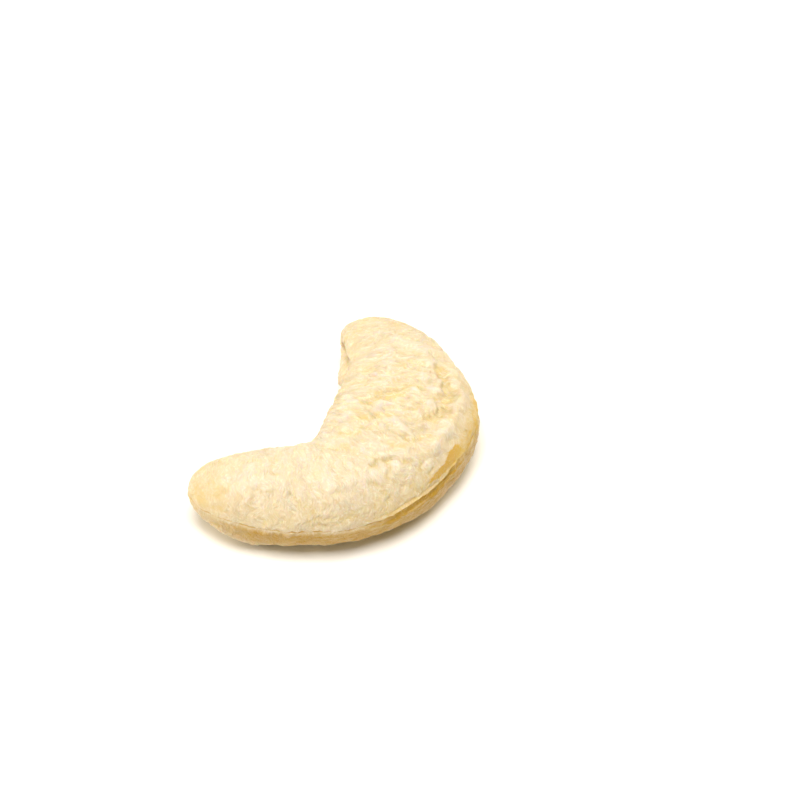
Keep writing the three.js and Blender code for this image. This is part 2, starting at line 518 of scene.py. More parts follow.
@dataclass(frozen=True)
class SharpFolds:
    """Sharper folds of the papery surface, which its source leaves out."""

    blunt_arm: tuple[Crease, ...] = (
        Crease(
            path=((20.6, 116.0), (21.5, 107.0), (22.3, 101.0), (22.9, 96.0), (23.7, 91.0), (23.8, 85.0)),
            depth=0.2,
            width=0.3,
        ),
        Crease(path=((22.0, 110.0), (22.4, 104.0)), depth=0.14, width=0.5),
        Crease(path=((20.8, 65.0), (21.3, 60.0), (22.0, 57.0)), depth=0.2, width=0.3),
        Crease(
            path=((21.2, 61.0), (21.9, 57.0), (22.8, 54.5), (24.2, 55.0), (25.4, 57.0), (26.4, 60.0)),
            depth=0.2,
            width=0.4,
        ),
        Crease(
            path=((18.6, 42.0), (20.5, 46.0), (22.0, 48.5), (23.5, 48.5), (25.2, 49.0), (26.8, 44.0)),
            depth=-0.17,
            width=0.42,
        ),
        Crease(
            path=((18.3, 114.0), (18.6, 105.0), (19.2, 98.0), (19.8, 93.0)),
            depth=0.14,
            width=0.24,
        ),
        Crease(path=((17.8, 111.0), (18.2, 106.0)), depth=0.1, width=0.2),
        Crease(path=((26.2, 101.0), (26.4, 94.0)), depth=0.1, width=0.24),
        Crease(path=((26.9, 84.0), (26.7, 74.0)), depth=0.08, width=0.24),
        Crease(path=((24.0, 99.0), (24.4, 95.0)), depth=0.08, width=0.24),
        Crease(path=((21.0, 83.0), (21.4, 76.0)), depth=0.1, width=0.2),
        Crease(path=((21.9, 76.0), (22.2, 73.0)), depth=0.1, width=0.2),
        Crease(path=((23.0, 66.0), (23.6, 63.0)), depth=0.1, width=0.22),
    )
    bend: tuple[Crease, ...] = (
        Crease(
            path=((18.4, 69.0), (18.5, 64.0), (18.8, 60.0), (19.4, 57.0)),
            depth=0.16,
            width=0.22,
        ),
        Crease(path=((14.9, 65.5), (15.5, 64.0), (16.3, 61.0)), depth=0.14, width=0.22),
        Crease(path=((15.2, 115.0), (15.6, 107.0), (16.2, 99.0)), depth=0.12, width=0.2),
        Crease(path=((16.6, 102.0), (17.3, 96.0)), depth=0.1, width=0.2),
        Crease(
            path=((12.6, 112.0), (13.0, 106.0), (13.8, 102.0), (14.3, 96.0)),
            depth=0.1,
            width=0.24,
        ),
        Crease(path=((15.6, 57.0), (15.3, 47.0), (15.3, 40.0)), depth=0.1, width=0.16),
        Crease(
            path=((14.2, 49.0), (14.5, 40.0), (14.8, 31.0), (14.6, 24.0)),
            depth=0.12,
            width=0.2,
        ),
        Crease(
            path=((17.5, 43.0), (17.5, 34.0), (17.4, 27.0), (17.9, 24.0)),
            depth=0.14,
            width=0.18,
        ),
        Crease(path=((16.0, 31.0), (16.1, 27.0)), depth=0.1, width=0.16),
        Crease(path=((12.2, 27.0), (12.2, 20.0), (12.6, 14.0)), depth=0.12, width=0.2),
        Crease(path=((16.8, 71.0), (17.4, 66.0), (17.8, 61.0)), depth=0.1, width=0.22),
        Crease(path=((16.8, 52.0), (17.4, 48.0)), depth=0.1, width=0.22),
        Crease(
            path=((9.8, 11.0), (10.8, 12.0), (11.6, 10.0), (12.0, 12.0), (12.9, 10.0)),
            depth=0.07,
            width=0.16,
        ),
    )
    pointed_arm: tuple[Crease, ...] = (
        Crease(path=((5.8, 55.0), (6.3, 56.5), (6.5, 54.5), (7.0, 56.0)), depth=0.08, width=0.16),
        Crease(path=((5.0, 46.0), (5.3, 36.0)), depth=0.07, width=0.16),
        Crease(path=((5.6, 40.0), (5.7, 28.0)), depth=0.08, width=0.22),
        Crease(path=((6.0, 23.0), (6.4, 13.0), (7.0, 4.0)), depth=0.1, width=0.16),
        Crease(path=((7.4, 43.0), (7.6, 36.0)), depth=0.07, width=0.18),
        Crease(path=((8.9, 50.0), (9.0, 40.0), (8.9, 32.0)), depth=0.07, width=0.14),
        Crease(path=((9.9, 43.0), (9.8, 36.0), (9.9, 28.0)), depth=0.08, width=0.14),
        Crease(path=((10.8, 80.0), (10.5, 70.0)), depth=0.08, width=0.2),
        Crease(path=((7.4, 81.0), (7.9, 78.0)), depth=0.08, width=0.22),
        Crease(path=((9.7, 19.0), (10.6, 22.0), (11.6, 17.0)), depth=0.12, width=0.2),
    )

    strength: float = 0.9
    wobble: float = 0.13
    wobble_length: float = 1.3
    wobble_drift: tuple[float, float] = (1.7, 1.9)
    finer_share: float = 0.5
    finer_turns: tuple[float, float] = (2.3, 2.1)
    fading_share: float = 0.35
    fading_length: float = 0.9
    fading_drift: float = 1.3

    def relief(self, surface: Surface) -> np.ndarray:
        """Sinks the folds, which wobble and fade as they run.

        Args:
            surface: Places on the surface.

        Returns:
            Height of the relief.
        """
        along, girth = surface.along, np.radians(surface.around) * surface.girth_radius
        turn = TURN / self.wobble_length
        aside, around = (
            np.sin(turn * run + np.sin(drift * other))
            + self.finer_share * np.sin(finer * turn * run + other)
            for run, other, drift, finer in zip(
                (girth, along), (along, girth), self.wobble_drift, self.finer_turns
            )
        )
        bent = replace(
            surface,
            along=along + self.wobble * aside,
            around=surface.around + np.degrees(self.wobble * around / surface.girth_radius),
        )
        beat = np.sin(TURN * along / self.fading_length + self.fading_drift * girth)
        kept = 1.0 - self.fading_share * (0.5 + 0.5 * beat)
        folds = (*self.blunt_arm, *self.bend, *self.pointed_arm)
        return self.strength * kept * sum(fold.relief(bent) for fold in folds)


@dataclass(frozen=True)
class Unevenness:
    """Slow unevenness of the whole surface."""

    height: float = 0.09
    length: float = 7.5
    turns: int = 3

    def relief(self, surface: Surface) -> np.ndarray:
        """Waves the surface.

        Args:
            surface: Places on the surface.

        Returns:
            Height of the relief.
        """
        wave = np.sin(TURN * surface.along / self.length + surface.outward)
        return self.height * wave * np.cos(self.turns * np.radians(surface.around))


@dataclass
class KernelForm:
    """The whole kernel's form: smooth sections from tip to tip and the relief on them."""

    sections: tuple[Section, ...] = (
        Section(
            outer=(-14.9, 4.9), inner=(-10.2, 6.0),
            rise=3.0, drop=3.6, square_top=2.2, square_base=2.2,
        ),
        Section(
            outer=(-13.2, -1.3), inner=(-7.6, 2.9),
            rise=3.9, drop=4.7, square_top=2.2, square_base=2.1,
        ),
        Section(
            outer=(-7.4, -8.4), inner=(-3.6, 0.0),
            rise=4.1, drop=4.5, square_top=2.3, square_base=2.1,
        ),
        Section(
            outer=(0.6, -11.0), inner=(-0.6, 0.6),
            rise=4.4, drop=4.95, square_top=2.4, square_base=2.6,
        ),
        Section(
            outer=(8.9, -9.1), inner=(2.5, 1.7),
            rise=3.8, drop=5.1, square_top=2.4, square_base=2.9,
        ),
        Section(
            outer=(13.4, -1.3), inner=(5.8, 4.0),
            rise=3.3, drop=4.9, square_top=2.3, square_base=2.5,
        ),
        Section(
            outer=(14.3, 4.5), inner=(7.3, 8.7),
            rise=2.5, drop=4.0, square_top=2.2, square_base=2.2,
        ),
    )
    pointed_tip_power: float = 6.5
    blunt_tip_power: float = 4.0
    seam_height: float = 5.1
    girth_radius: float = 5.0
    tip_reach: float = 1.2
    arc_samples: int = 400
    seam: OuterSeam = field(default_factory=OuterSeam)
    cleft: HollowCleft = field(default_factory=HollowCleft)
    rim: UpperRim = field(default_factory=UpperRim)
    creases: FanOfCreases = field(default_factory=FanOfCreases)
    folds: SharpFolds = field(default_factory=SharpFolds)
    unevenness: Unevenness = field(default_factory=Unevenness)
    swellings: tuple[Spot, ...] = (
        Spot(along=31.2, around=204.0, height=0.9, length=1.6, width=1.1),
        Spot(along=33.6, around=182.0, height=-0.4, length=0.9, width=0.9),
        Spot(along=34.1, around=182.0, height=0.35, length=0.4, width=0.45),
        Spot(along=6.0, around=270.0, height=0.82, length=2.2, width=2.2),
        Spot(along=17.5, around=296.0, height=0.65, length=2.2, width=2.2),
        Spot(along=29.3, around=270.0, height=0.6, length=2.2, width=2.2),
    )

    def through_sections(self, values: Sequence[Sequence[float]], t: np.ndarray) -> np.ndarray:
        """Runs a smooth curve through one row of values of every section.

        Args:
            values: One row for each section.
            t: Where the curve is read, from 0 to 1.

        Returns:
            The curve's row at each t.
        """
        rows = np.array(values, float)
        last = len(rows) - 1
        place = t * last
        index = np.minimum(place.astype(int), last - 1)
        share = (place - index)[:, None]
        before = rows[np.maximum(index - 1, 0)]
        start = rows[index]
        end = rows[index + 1]
        after = rows[np.minimum(index + 2, last)]
        leave = 0.5 * (end - before)
        arrive = 0.5 * (after - start)
        cubic = 2.0 * start - 2.0 * end + leave + arrive
        square = 3.0 * end - 3.0 * start - 2.0 * leave - arrive
        return cubic * share**3 + square * share**2 + leave * share + start

    def spine(self, t: np.ndarray) -> np.ndarray:
        """Finds the middle line between both edges.

        Args:
            t: Where it is read, from 0 to 1.

        Returns:
            Points in the seam's level.
        """
        middles = [np.add(section.outer, section.inner) / 2.0 for section in self.sections]
        return self.through_sections(middles, t)

    def lengths(self) -> np.ndarray:
        """Measures the distance from the pointed tip at evenly spaced readings of the spine."""
        points = self.spine(np.linspace(0.0, 1.0, self.arc_samples + 1))
        steps = np.linalg.norm(np.diff(points, axis=0), axis=1)
        return np.concatenate([[0.0], np.cumsum(steps)])

    def closing(self, t: np.ndarray) -> np.ndarray:
        """Closes the sections towards both tips.

        Args:
            t: Where it is read, from 0 to 1.

        Returns:
            Share of each section's full size.
        """
        power = np.where(t < 0.5, self.pointed_tip_power, self.blunt_tip_power)
        return np.sqrt(np.maximum(0.0, 1.0 - np.abs(2.0 * t - 1.0) ** power))

    def relief(self, surface: Surface) -> np.ndarray:
        """Adds up the relief that is placed on the kernel.

        Args:
            surface: Places on the surface.

        Returns:
            How far the surface stands out from the smooth form.
        """
        total = self.seam.relief(surface) + self.cleft.relief(surface) + self.rim.relief(surface)
        total += self.creases.relief(surface) + self.folds.relief(surface)
        total += self.unevenness.relief(surface)
        for swelling in self.swellings:
            total += swelling.relief(surface)
        return total * surface.tip_fade(self.tip_reach)

    def points(self, t: np.ndarray, around: np.ndarray) -> tuple[np.ndarray, Surface]:
        """Finds surface points in rings.

        Args:
            t: One value for each ring, from 0 to 1.
            around: Angles of each ring's points in degrees: 0 is the outer edge and 90 the top.

        Returns:
            The points, ring by ring, and their places on the smooth surface.
        """
        cosine, sine = np.cos(np.radians(around))[None], np.sin(np.radians(around))[None]
        upper = sine >= 0.0
        rises = self.through_sections([(s.rise, s.drop) for s in self.sections], t)
        squares = self.through_sections([(s.square_top, s.square_base) for s in self.sections], t)
        middle = self.spine(t)
        across = self.through_sections([s.outer for s in self.sections], t) - middle
        width = (np.linalg.norm(across, axis=1) * self.closing(t))[:, None]
        depth = np.where(upper, rises[:, :1], rises[:, 1:]) * self.closing(t)[:, None]
        power = np.where(upper, squares[:, :1], squares[:, 1:])
        radius = (np.abs(cosine) ** power + np.abs(sine) ** power) ** (-1.0 / power)
        lengths = self.lengths()
        along = np.interp(t, np.linspace(0.0, 1.0, self.arc_samples + 1), lengths)
        surface = Surface(
            along=np.broadcast_to(along[:, None], radius.shape),
            around=np.broadcast_to(around[None], radius.shape),
            across=width * radius * cosine,
            height=depth * radius * sine,
            girth_radius=self.girth_radius,
            length=float(lengths[-1]),
        )
        slope_across = np.sign(cosine) * np.abs(cosine) ** (power - 1.0) * depth
        slope_up = np.sign(sine) * np.abs(sine) ** (power - 1.0) * width
        steep = np.hypot(slope_across, slope_up)
        relief = self.relief(surface)
        outward = surface.across + relief * slope_across / steep
        upward = surface.height + relief * slope_up / steep
        upward = upward + self.cleft.sway(surface, self.tip_reach)
        heading = across / np.linalg.norm(across, axis=1)[:, None]
        level = middle[:, None] + outward[..., None] * heading[:, None]
        lift = np.maximum(0.0, self.seam_height + upward)
        return np.concatenate([level, lift[..., None]], axis=-1), surface


@dataclass(frozen=True)
class Noise:
    """One noise: its seed, how many finer layers it has, their strength and how it is warped."""

    seed: float
    detail: float = 2.0
    roughness: float = 0.5
    distortion: float = 0.0


@dataclass(frozen=True)
class Mask(Noise):
    """Mask that a noise draws, shaped by a ramp."""

    ramp: Ramp = Ramp(0.0, 1.0)


class Wiring:
    """Adds nodes to one node tree and links them."""

    mix_inputs: tuple[int, int, int] = (0, 6, 7)
    mix_output: int = 2

    def __init__(self, tree: bpy.types.NodeTree) -> None:
        """Starts wiring a tree.

        Args:
            tree: The tree that the nodes go into.
        """
        self.tree = tree

    def add(
        self, kind: str, inputs: Optional[dict[Union[str, int], Given]] = None, **settings: object
    ) -> bpy.types.Node:
        """Adds a node.

        Args:
            kind: The node's type name.
            inputs: What each input gets: a socket to link, or a value.
            **settings: The node's own properties.

        Returns:
            The new node.
        """
        node = self.tree.nodes.new(kind)
        for name, value in settings.items():
            setattr(node, name, value)
        for name, value in (inputs or {}).items():
            self.give(node, name, value)
        return node

    def give(self, node: bpy.types.Node, name: Union[str, int], value: Given) -> None:
        """Links a node's input, or sets its value.

        Args:
            node: The node.
            name: The input's name or number.
            value: The socket to link, or the value.
        """
        if isinstance(value, bpy.types.NodeSocket):
            self.tree.links.new(value, node.inputs[name])
        else:
            node.inputs[name].default_value = value

    def math(self, operation: str, first: Given, second: Given = 0.0, third: Given = 0.0) -> Socket:
        """Adds a Math node.

        Args:
            operation: Its operation.
            first: Its first value.
            second: Its second value.
            third: Its third value.

        Returns:
            Its result.
        """
        given = {0: first, 1: second, 2: third}
        return self.add("ShaderNodeMath", given, operation=operation).outputs[0]

    def combine(self, operation: str, *values: Given) -> Socket:
        """Runs one operation through a row of values.

        Args:
            operation: A Math node's operation.
            *values: The values.

        Returns:
            The result.
        """
        result = values[0]
        for value in values[1:]:
            result = self.math(operation, result, value)
        return result

    def times(self, *values: Given) -> Socket:
        """Multiplies the values."""
        return self.combine("MULTIPLY", *values)

    def inverse(self, share: Given) -> Socket:
        """Takes a share away from 1."""
        return self.math("SUBTRACT", 1.0, share)

    def calmed(self, share: Given, strength: float) -> Socket:
        """Takes a share away from 1 after it is multiplied by its strength."""
        return self.math("MULTIPLY_ADD", share, -strength, 1.0)

    def vector_math(self, operation: str, vector: Socket, **others: Given) -> Socket:
        """Adds a Vector Math node.

        Args:
            operation: Its operation.
            vector: Its first vector.
            **others: Its second vector, its third vector or its scale.

        Returns:
            Its result.
        """
        places = {"second": 1, "third": 2, "scale": 3}
        given = {0: vector, **{places[name]: value for name, value in others.items()}}
        return self.add("ShaderNodeVectorMath", given, operation=operation).outputs[0]

    def noise(self, vector: Socket, look: Noise, base: Optional[Socket] = None) -> Socket:
        """Adds a noise texture.

        Args:
            vector: Where it is read.
            look: Its seed and its look.
            base: Seed that its own seed is added to.

        Returns:
            Values round 0.5.
        """
        given = {
            "Vector": vector,
            "W": look.seed if base is None else self.math("ADD", base, look.seed),
            "Scale": 1.0,
            "Detail": look.detail,
            "Roughness": look.roughness,
            "Distortion": look.distortion,
        }
        return self.add("ShaderNodeTexNoise", given, noise_dimensions="4D").outputs[0]

    def step(self, value: Given, ramp: Ramp) -> Socket:
        """Adds a smooth step from 0 to 1.

        Args:
            value: Where it is read.
            ramp: Where it rises.

        Returns:
            The step.
        """
        given = {"Value": value, "From Min": ramp.low, "From Max": ramp.high}
        kind = "ShaderNodeMapRange"
        return self.add(kind, given, interpolation_type="SMOOTHSTEP").outputs[0]

    def mask(self, vector: Socket, look: Mask, base: Optional[Socket] = None) -> Socket:
        """Adds a noise and the step that turns it into a mask.

        Args:
            vector: Where it is read.
            look: The mask's seed, look and ramp.
            base: Seed that its own seed is added to.

        Returns:
            The mask.
        """
        return self.step(self.noise(vector, look, base), look.ramp)

    def dots(self, vector: Socket, ramp: Ramp) -> Socket:
        """Draws scattered dots.

        Args:
            vector: Where they are read.
            ramp: Where a dot's edge fades, counted from its middle.

        Returns:
            1 in the dots.
        """
        cells = self.add("ShaderNodeTexVoronoi", {"Vector": vector, "Scale": 1.0})
        return self.inverse(self.step(cells.outputs["Distance"], ramp))

    def shifted(
        self, place: Socket, vector: Socket, swing: float, scale: float = 1.0, detail: float = 1.0
    ) -> Socket:
        """Shifts a place to and fro, so that a pattern read there is warped.

        Args:
            place: The place.
            vector: Where the shift is read.
            swing: How far the place is shifted.
            scale: How fast the shift changes.
            detail: Number of its finer layers.

        Returns:
            The shifted place.
        """
        given = {"Vector": vector, "Scale": scale, "Detail": detail}
        wander = self.add("ShaderNodeTexNoise", given).outputs[1]
        return self.vector_math("MULTIPLY_ADD", wander, second=(swing,) * 3, third=place)

    def mix_colour(self, share: Given, first: Given, second: Given) -> Socket:
        """Mixes two colours.

        Args:
            share: Share of the second colour.
            first: First colour.
            second: Second colour.

        Returns:
            The mixed colour.
        """
        node = self.add("ShaderNodeMix", data_type="RGBA")
        for number, value in zip(self.mix_inputs, (share, first, second)):
            is_colour = isinstance(value, tuple)
            self.give(node, number, (*value, 1.0) if is_colour else value)
        return node.outputs[self.mix_output]


@dataclass(frozen=True)
class SkinSizes:
    """Sizes of the papery surface's fine relief, each of them a named input of its tree."""

    fold_height: float = 0.46
    fold_width: float = 1.2
    fold_length: float = 2.0
    line_depth: float = 0.04
    line_size: float = 2.4
    crumple_depth: float = 0.06
    crumple_width: float = 0.8
    crumple_length: float = 1.6
    wrinkle_height: float = 0.155
    wrinkle_width: float = 0.28
    wrinkle_length: float = 1.0
    ripple_height: float = 0.085
    ripple_width: float = 0.42
    ripple_length: float = 0.85
    pit_depth: float = 0.03
    pit_spacing: float = 1.3
    streak_height: float = 0.12
    streak_length: float = 2.6
    streak_depth: float = 0.5
    streak_width: float = 0.16
    skin_step: float = 0.04
    patch_size: float = 2.6

    def inputs(self) -> dict[str, float]:
        """Names every size in the words of its input."""
        words = {size.name: size.name.replace("_", " ").title() for size in fields(self)}
        return {label: getattr(self, name) for name, label in words.items()}


class SkinWiring(Wiring):
    """Wiring of the skin relief's tree, which knows its named inputs and the unbent place."""

    def __init__(self, tree: bpy.types.NodeTree) -> None:
        """Starts wiring the tree.

        Args:
            tree: The tree, which has its sockets.
        """
        super().__init__(tree)
        start = self.add("NodeGroupInput")
        self.surface = start.outputs[0]
        self.given = {socket.name: socket for socket in start.outputs if socket.name}
        self.place = self.read(Trait.UNBENT)

    def read(self, trait: Trait) -> Socket:
        """Reads one of the surface's values.

        Args:
            trait: The value.

        Returns:
            Its socket.
        """
        data_type = "FLOAT_VECTOR" if trait is Trait.UNBENT else "FLOAT"
        kind = "GeometryNodeInputNamedAttribute"
        return self.add(kind, {"Name": trait.value}, data_type=data_type).outputs[0]

    def sized(self, *sizes: str) -> Socket:
        """Divides the place by three of the named sizes, which become the pattern's spacing.

        Args:
            *sizes: Names of the sizes along, across and up.

        Returns:
            The place in the pattern's own units.
        """
        spacing = {axis: self.given[name] for axis, name in enumerate(sizes)}
        spread = self.add("ShaderNodeCombineXYZ", spacing).outputs[0]
        return self.vector_math("DIVIDE", self.place, second=spread)

    def even(self, name: str) -> Socket:
        """Divides the place by one named size."""
        return self.sized(name, name, name)

    def drawn_out(self, name: str) -> Socket:
        """Divides the place by a pattern's width along the kernel and its length across."""
        return self.sized(f"{name} Width", f"{name} Length", f"{name} Length")

    def relief(self, height: Socket, size: str, trait: Trait) -> Socket:
        """Gives a pattern its height where the surface has it.

        Args:
            height: The pattern's height in its own units.
            size: Name of the size that it is multiplied by.
            trait: How much of it each place gets.

        Returns:
            Its height.
        """
        return self.times(height, self.times(self.given[size], self.read(trait)))

    def store(self, geometry: Socket, trait: Trait, value: Socket) -> Socket:
        """Keeps a value on the surface for the material.

        Args:
            geometry: The surface.
            trait: The value's name.
            value: The value.

        Returns:
            The surface with the value.
        """
        given = {"Geometry": geometry, "Name": trait.value, "Value": value}
        kind = "GeometryNodeStoreNamedAttribute"
        return self.add(kind, given, data_type="FLOAT", domain="POINT").outputs[0]

    def raised(self, geometry: Socket, height: Socket) -> Socket:
        """Moves the surface outwards.

        Args:
            geometry: The surface.
            height: How far, in millimetres.

        Returns:
            The moved surface.
        """
        outward = self.add("GeometryNodeInputNormal").outputs[0]
        offset = self.vector_math("SCALE", outward, scale=self.times(height, MM))
        given = {"Geometry": geometry, "Offset": offset}
        return self.add("GeometryNodeSetPosition", given).outputs[0]

    def grounded(self, geometry: Socket) -> Socket:
        """Keeps the surface out of the floor.

        Args:
            geometry: The surface.

        Returns:
            The surface with nothing under the floor.
        """
        place = self.add("GeometryNodeInputPosition").outputs[0]
        axes = self.add("ShaderNodeSeparateXYZ", {0: place}).outputs
        lifted = self.math("MAXIMUM", axes[2], 0.0)
        joined = self.add("ShaderNodeCombineXYZ", {0: axes[0], 1: axes[1], 2: lifted}).outputs[0]
        given = {"Geometry": geometry, "Position": joined}
        return self.add("GeometryNodeSetPosition", given).outputs[0]


@dataclass(frozen=True)
class SkinRelief:
    """Fine relief of the kernel's papery surface, as a Geometry Nodes tree."""

    sizes: SkinSizes = SkinSizes()
    seed: int = 7
    puff_steepness: float = 5.0
    puff_power: float = 0.8
    puff_level: float = 0.6
    swell: Noise = Noise(seed=0.0, detail=1.0, roughness=0.45, distortion=0.4)
    line: Noise = Noise(seed=11.0, distortion=0.9)
    line_edge: Ramp = Ramp(0.0, 0.08)
    line_places: Mask = Mask(seed=23.0, detail=1.0, ramp=Ramp(0.45, 0.62))
    wrinkle: Noise = Noise(seed=31.0, detail=1.0, distortion=0.6)
    crumple_swing: float = 1.5
    crumple_scale: float = 0.9
    crumple_detail: float = 1.5
    crumple_edge: Ramp = Ramp(0.0, 0.6)
    crumple_places: Mask = Mask(seed=61.0, ramp=Ramp(0.36, 0.62))
    ripple: Noise = Noise(seed=71.0, detail=1.0, distortion=0.5)
    pit_edge: Ramp = Ramp(0.05, 0.22)
    streak: Noise = Noise(seed=41.0, roughness=0.6, distortion=0.3)
    flaking: Noise = Noise(seed=53.0, detail=6.0, roughness=0.65, distortion=0.4)
    flaking_edge: Ramp = Ramp(0.74, 0.8)
    smooth_flaking: float = 0.42
    patch_flaking: float = 0.6
    smooth_calm: float = 0.6
    bare_calm: float = 0.75

    def swing(self, wiring: SkinWiring, noise: Socket) -> Socket:
        """Turns a noise round 0.5 into a height between -1 and 1."""
        return wiring.math("MULTIPLY_ADD", noise, 2.0, -1.0)

    def puffs(self, wiring: SkinWiring, noise: Socket) -> Socket:
        """Turns a noise round 0.5 into round puffs with narrow valleys between them.

        Args:
            wiring: The tree.
            noise: The noise.

        Returns:
            Their height, which is below 0 in the valleys.
        """
        centre = -0.5 * self.puff_steepness
        aside = wiring.math("MULTIPLY_ADD", noise, self.puff_steepness, centre)
        puffed = wiring.math("POWER", wiring.math("ABSOLUTE", aside), self.puff_power)
        return wiring.math("SUBTRACT", puffed, self.puff_level)

    def folds(self, wiring: SkinWiring) -> Socket:
        """Makes the irregular folds and the thin crease lines between them.

        Args:
            wiring: The tree.

        Returns:
            Their height.
        """
        given, base = wiring.given, wiring.given["Seed"]
        spread = wiring.drawn_out("Fold")
        puffed = self.puffs(wiring, wiring.noise(spread, self.swell, base))
        wander = wiring.noise(wiring.even("Line Size"), self.line, base)
        aside = wiring.math("ABSOLUTE", wiring.math("SUBTRACT", wander, 0.5))
        line = wiring.inverse(wiring.step(aside, self.line_edge))
        cut = wiring.times(line, wiring.mask(spread, self.line_places, base), given["Line Depth"])
        height = wiring.math("SUBTRACT", wiring.times(puffed, given["Fold Height"]), cut)
        return wiring.times(height, wiring.read(Trait.FOLDS))

    def wrinkles(self, wiring: SkinWiring) -> Socket:
        """Makes the fine wrinkles that run across the kernel.

        Args:
            wiring: The tree.

        Returns:
            Their height.
        """
        fine = wiring.noise(wiring.drawn_out("Wrinkle"), self.wrinkle, wiring.given["Seed"])
        return wiring.relief(self.swing(wiring, fine), "Wrinkle Height", Trait.WRINKLED)

    def crumple(self, wiring: SkinWiring) -> Socket:
        """Makes the net of little valleys between low bumps, as in crumpled paper.

        Args:
            wiring: The tree.

        Returns:
            Their height, which is never above 0.
        """
        spread = wiring.drawn_out("Crumple")
        bent = wiring.shifted(
            spread, spread, self.crumple_swing, self.crumple_scale, self.crumple_detail
        )
        kind = "ShaderNodeTexVoronoi"
        cells = wiring.add(kind, {"Vector": bent, "Scale": 1.0}, feature="DISTANCE_TO_EDGE")
        bumps = wiring.step(cells.outputs["Distance"], self.crumple_edge)
        shown = wiring.mask(spread, self.crumple_places, wiring.given["Seed"])
        sunk = wiring.times(wiring.math("SUBTRACT", bumps, 1.0), shown)
        return wiring.relief(sunk, "Crumple Depth", Trait.CRUMPLED)

    def ripples(self, wiring: SkinWiring) -> Socket:
        """Makes the small scalloped bumps above the outer seam, with narrow valleys between them.

        Args:
            wiring: The tree.

        Returns:
            Their height.
        """
        swell = wiring.noise(wiring.drawn_out("Ripple"), self.ripple, wiring.given["Seed"])
        return wiring.relief(self.puffs(wiring, swell), "Ripple Height", Trait.RIPPLED)

    def pits(self, wiring: SkinWiring) -> Socket:
        """Makes sparse small pits.

        Args:
            wiring: The tree.

        Returns:
            Their depth, as a height of 0 or less.
        """
        pit = wiring.dots(wiring.even("Pit Spacing"), self.pit_edge)
        return wiring.times(pit, wiring.given["Pit Depth"], -1.0)

    def streaks(self, wiring: SkinWiring) -> Socket:
        """Makes the streaks that follow the outer seam on its lips.

        Args:
            wiring: The tree.

        Returns:
            Their height.
        """
        spread = wiring.sized("Streak Length", "Streak Depth", "Streak Width")
        streak = wiring.noise(spread, self.streak, wiring.given["Seed"])
        return wiring.relief(self.swing(wiring, streak), "Streak Height", Trait.LIP)

    def bare_flesh(self, wiring: SkinWiring) -> Socket:
        """Finds where the papery surface is missing and smooth flesh shows.

        Args:
            wiring: The tree.

        Returns:
            1 on bare flesh.
        """
        patchy = wiring.noise(wiring.even("Patch Size"), self.flaking, wiring.given["Seed"])
        placed = wiring.times(wiring.read(Trait.SMOOTH), self.smooth_flaking)
        patch = wiring.read(Trait.PATCH)
        flaked = wiring.math("MULTIPLY_ADD", patch, self.patch_flaking, placed)
        return wiring.step(wiring.math("ADD", patchy, flaked), self.flaking_edge)

    def tree(self) -> bpy.types.NodeTree:
        """Builds the tree.

        Returns:
            The Geometry Nodes tree.
        """
        tree = bpy.data.node_groups.new("kernel_skin_relief", "GeometryNodeTree")
        sockets = [("Geometry", "INPUT", "Geometry"), ("Geometry", "OUTPUT", "Geometry")]
        sockets += [(name, "INPUT", "Float") for name in (*self.sizes.inputs(), "Seed")]
        for name, side, kind in (*sockets, ("Material", "INPUT", "Material")):
            tree.interface.new_socket(name, in_out=side, socket_type=f"NodeSocket{kind}")
        wiring = SkinWiring(tree)
        bare = self.bare_flesh(wiring)
        layers = [part(wiring) for part in (self.folds, self.wrinkles, self.crumple, self.ripples)]
        calm = wiring.calmed(wiring.read(Trait.SMOOTH), self.smooth_calm)
        papery = wiring.calmed(bare, self.bare_calm)
        skin = wiring.times(wiring.combine("ADD", *layers), calm, papery)
        skin = wiring.combine("ADD", skin, self.pits(wiring), self.streaks(wiring))
        lowered = wiring.times(wiring.given["Skin Step"], -1.0)
        fine = wiring.math("MULTIPLY_ADD", bare, lowered, skin)
        kept = wiring.store(wiring.surface, Trait.BARE, bare)
        kept = wiring.store(kept, Trait.CREST, skin)
        grounded = wiring.grounded(wiring.raised(kept, fine))
        whole = wiring.add("GeometryNodeRealizeInstances", {0: grounded}).outputs[0]
        given = {0: whole, "Material": wiring.given["Material"]}
        dressed = wiring.add("GeometryNodeSetMaterial", given).outputs[0]
        wiring.add("NodeGroupOutput", {0: dressed})
        return tree

    def apply(self, piece: bpy.types.Object, material: bpy.types.Material) -> None:
        """Runs the tree on a piece and keeps its result as a plain mesh.

        Args:
            piece: The piece.
            material: The material that the tree sets.
        """
        tree = self.tree()
        modifier = piece.modifiers.new("skin relief", "NODES")
        modifier.node_group = tree
        values: dict[str, object] = {**self.sizes.inputs(), "Seed": float(self.seed)}
        values["Material"] = material
        for item in tree.interface.items_tree:
            if item.in_out == "INPUT" and item.name in values:
                modifier[item.identifier] = values[item.name]
        evaluated = piece.evaluated_get(bpy.context.evaluated_depsgraph_get())
        result = bpy.data.meshes.new_from_object(evaluated)
        plain = piece.data
        piece.modifiers.remove(modifier)
        piece.data = result
        bpy.data.meshes.remove(plain)


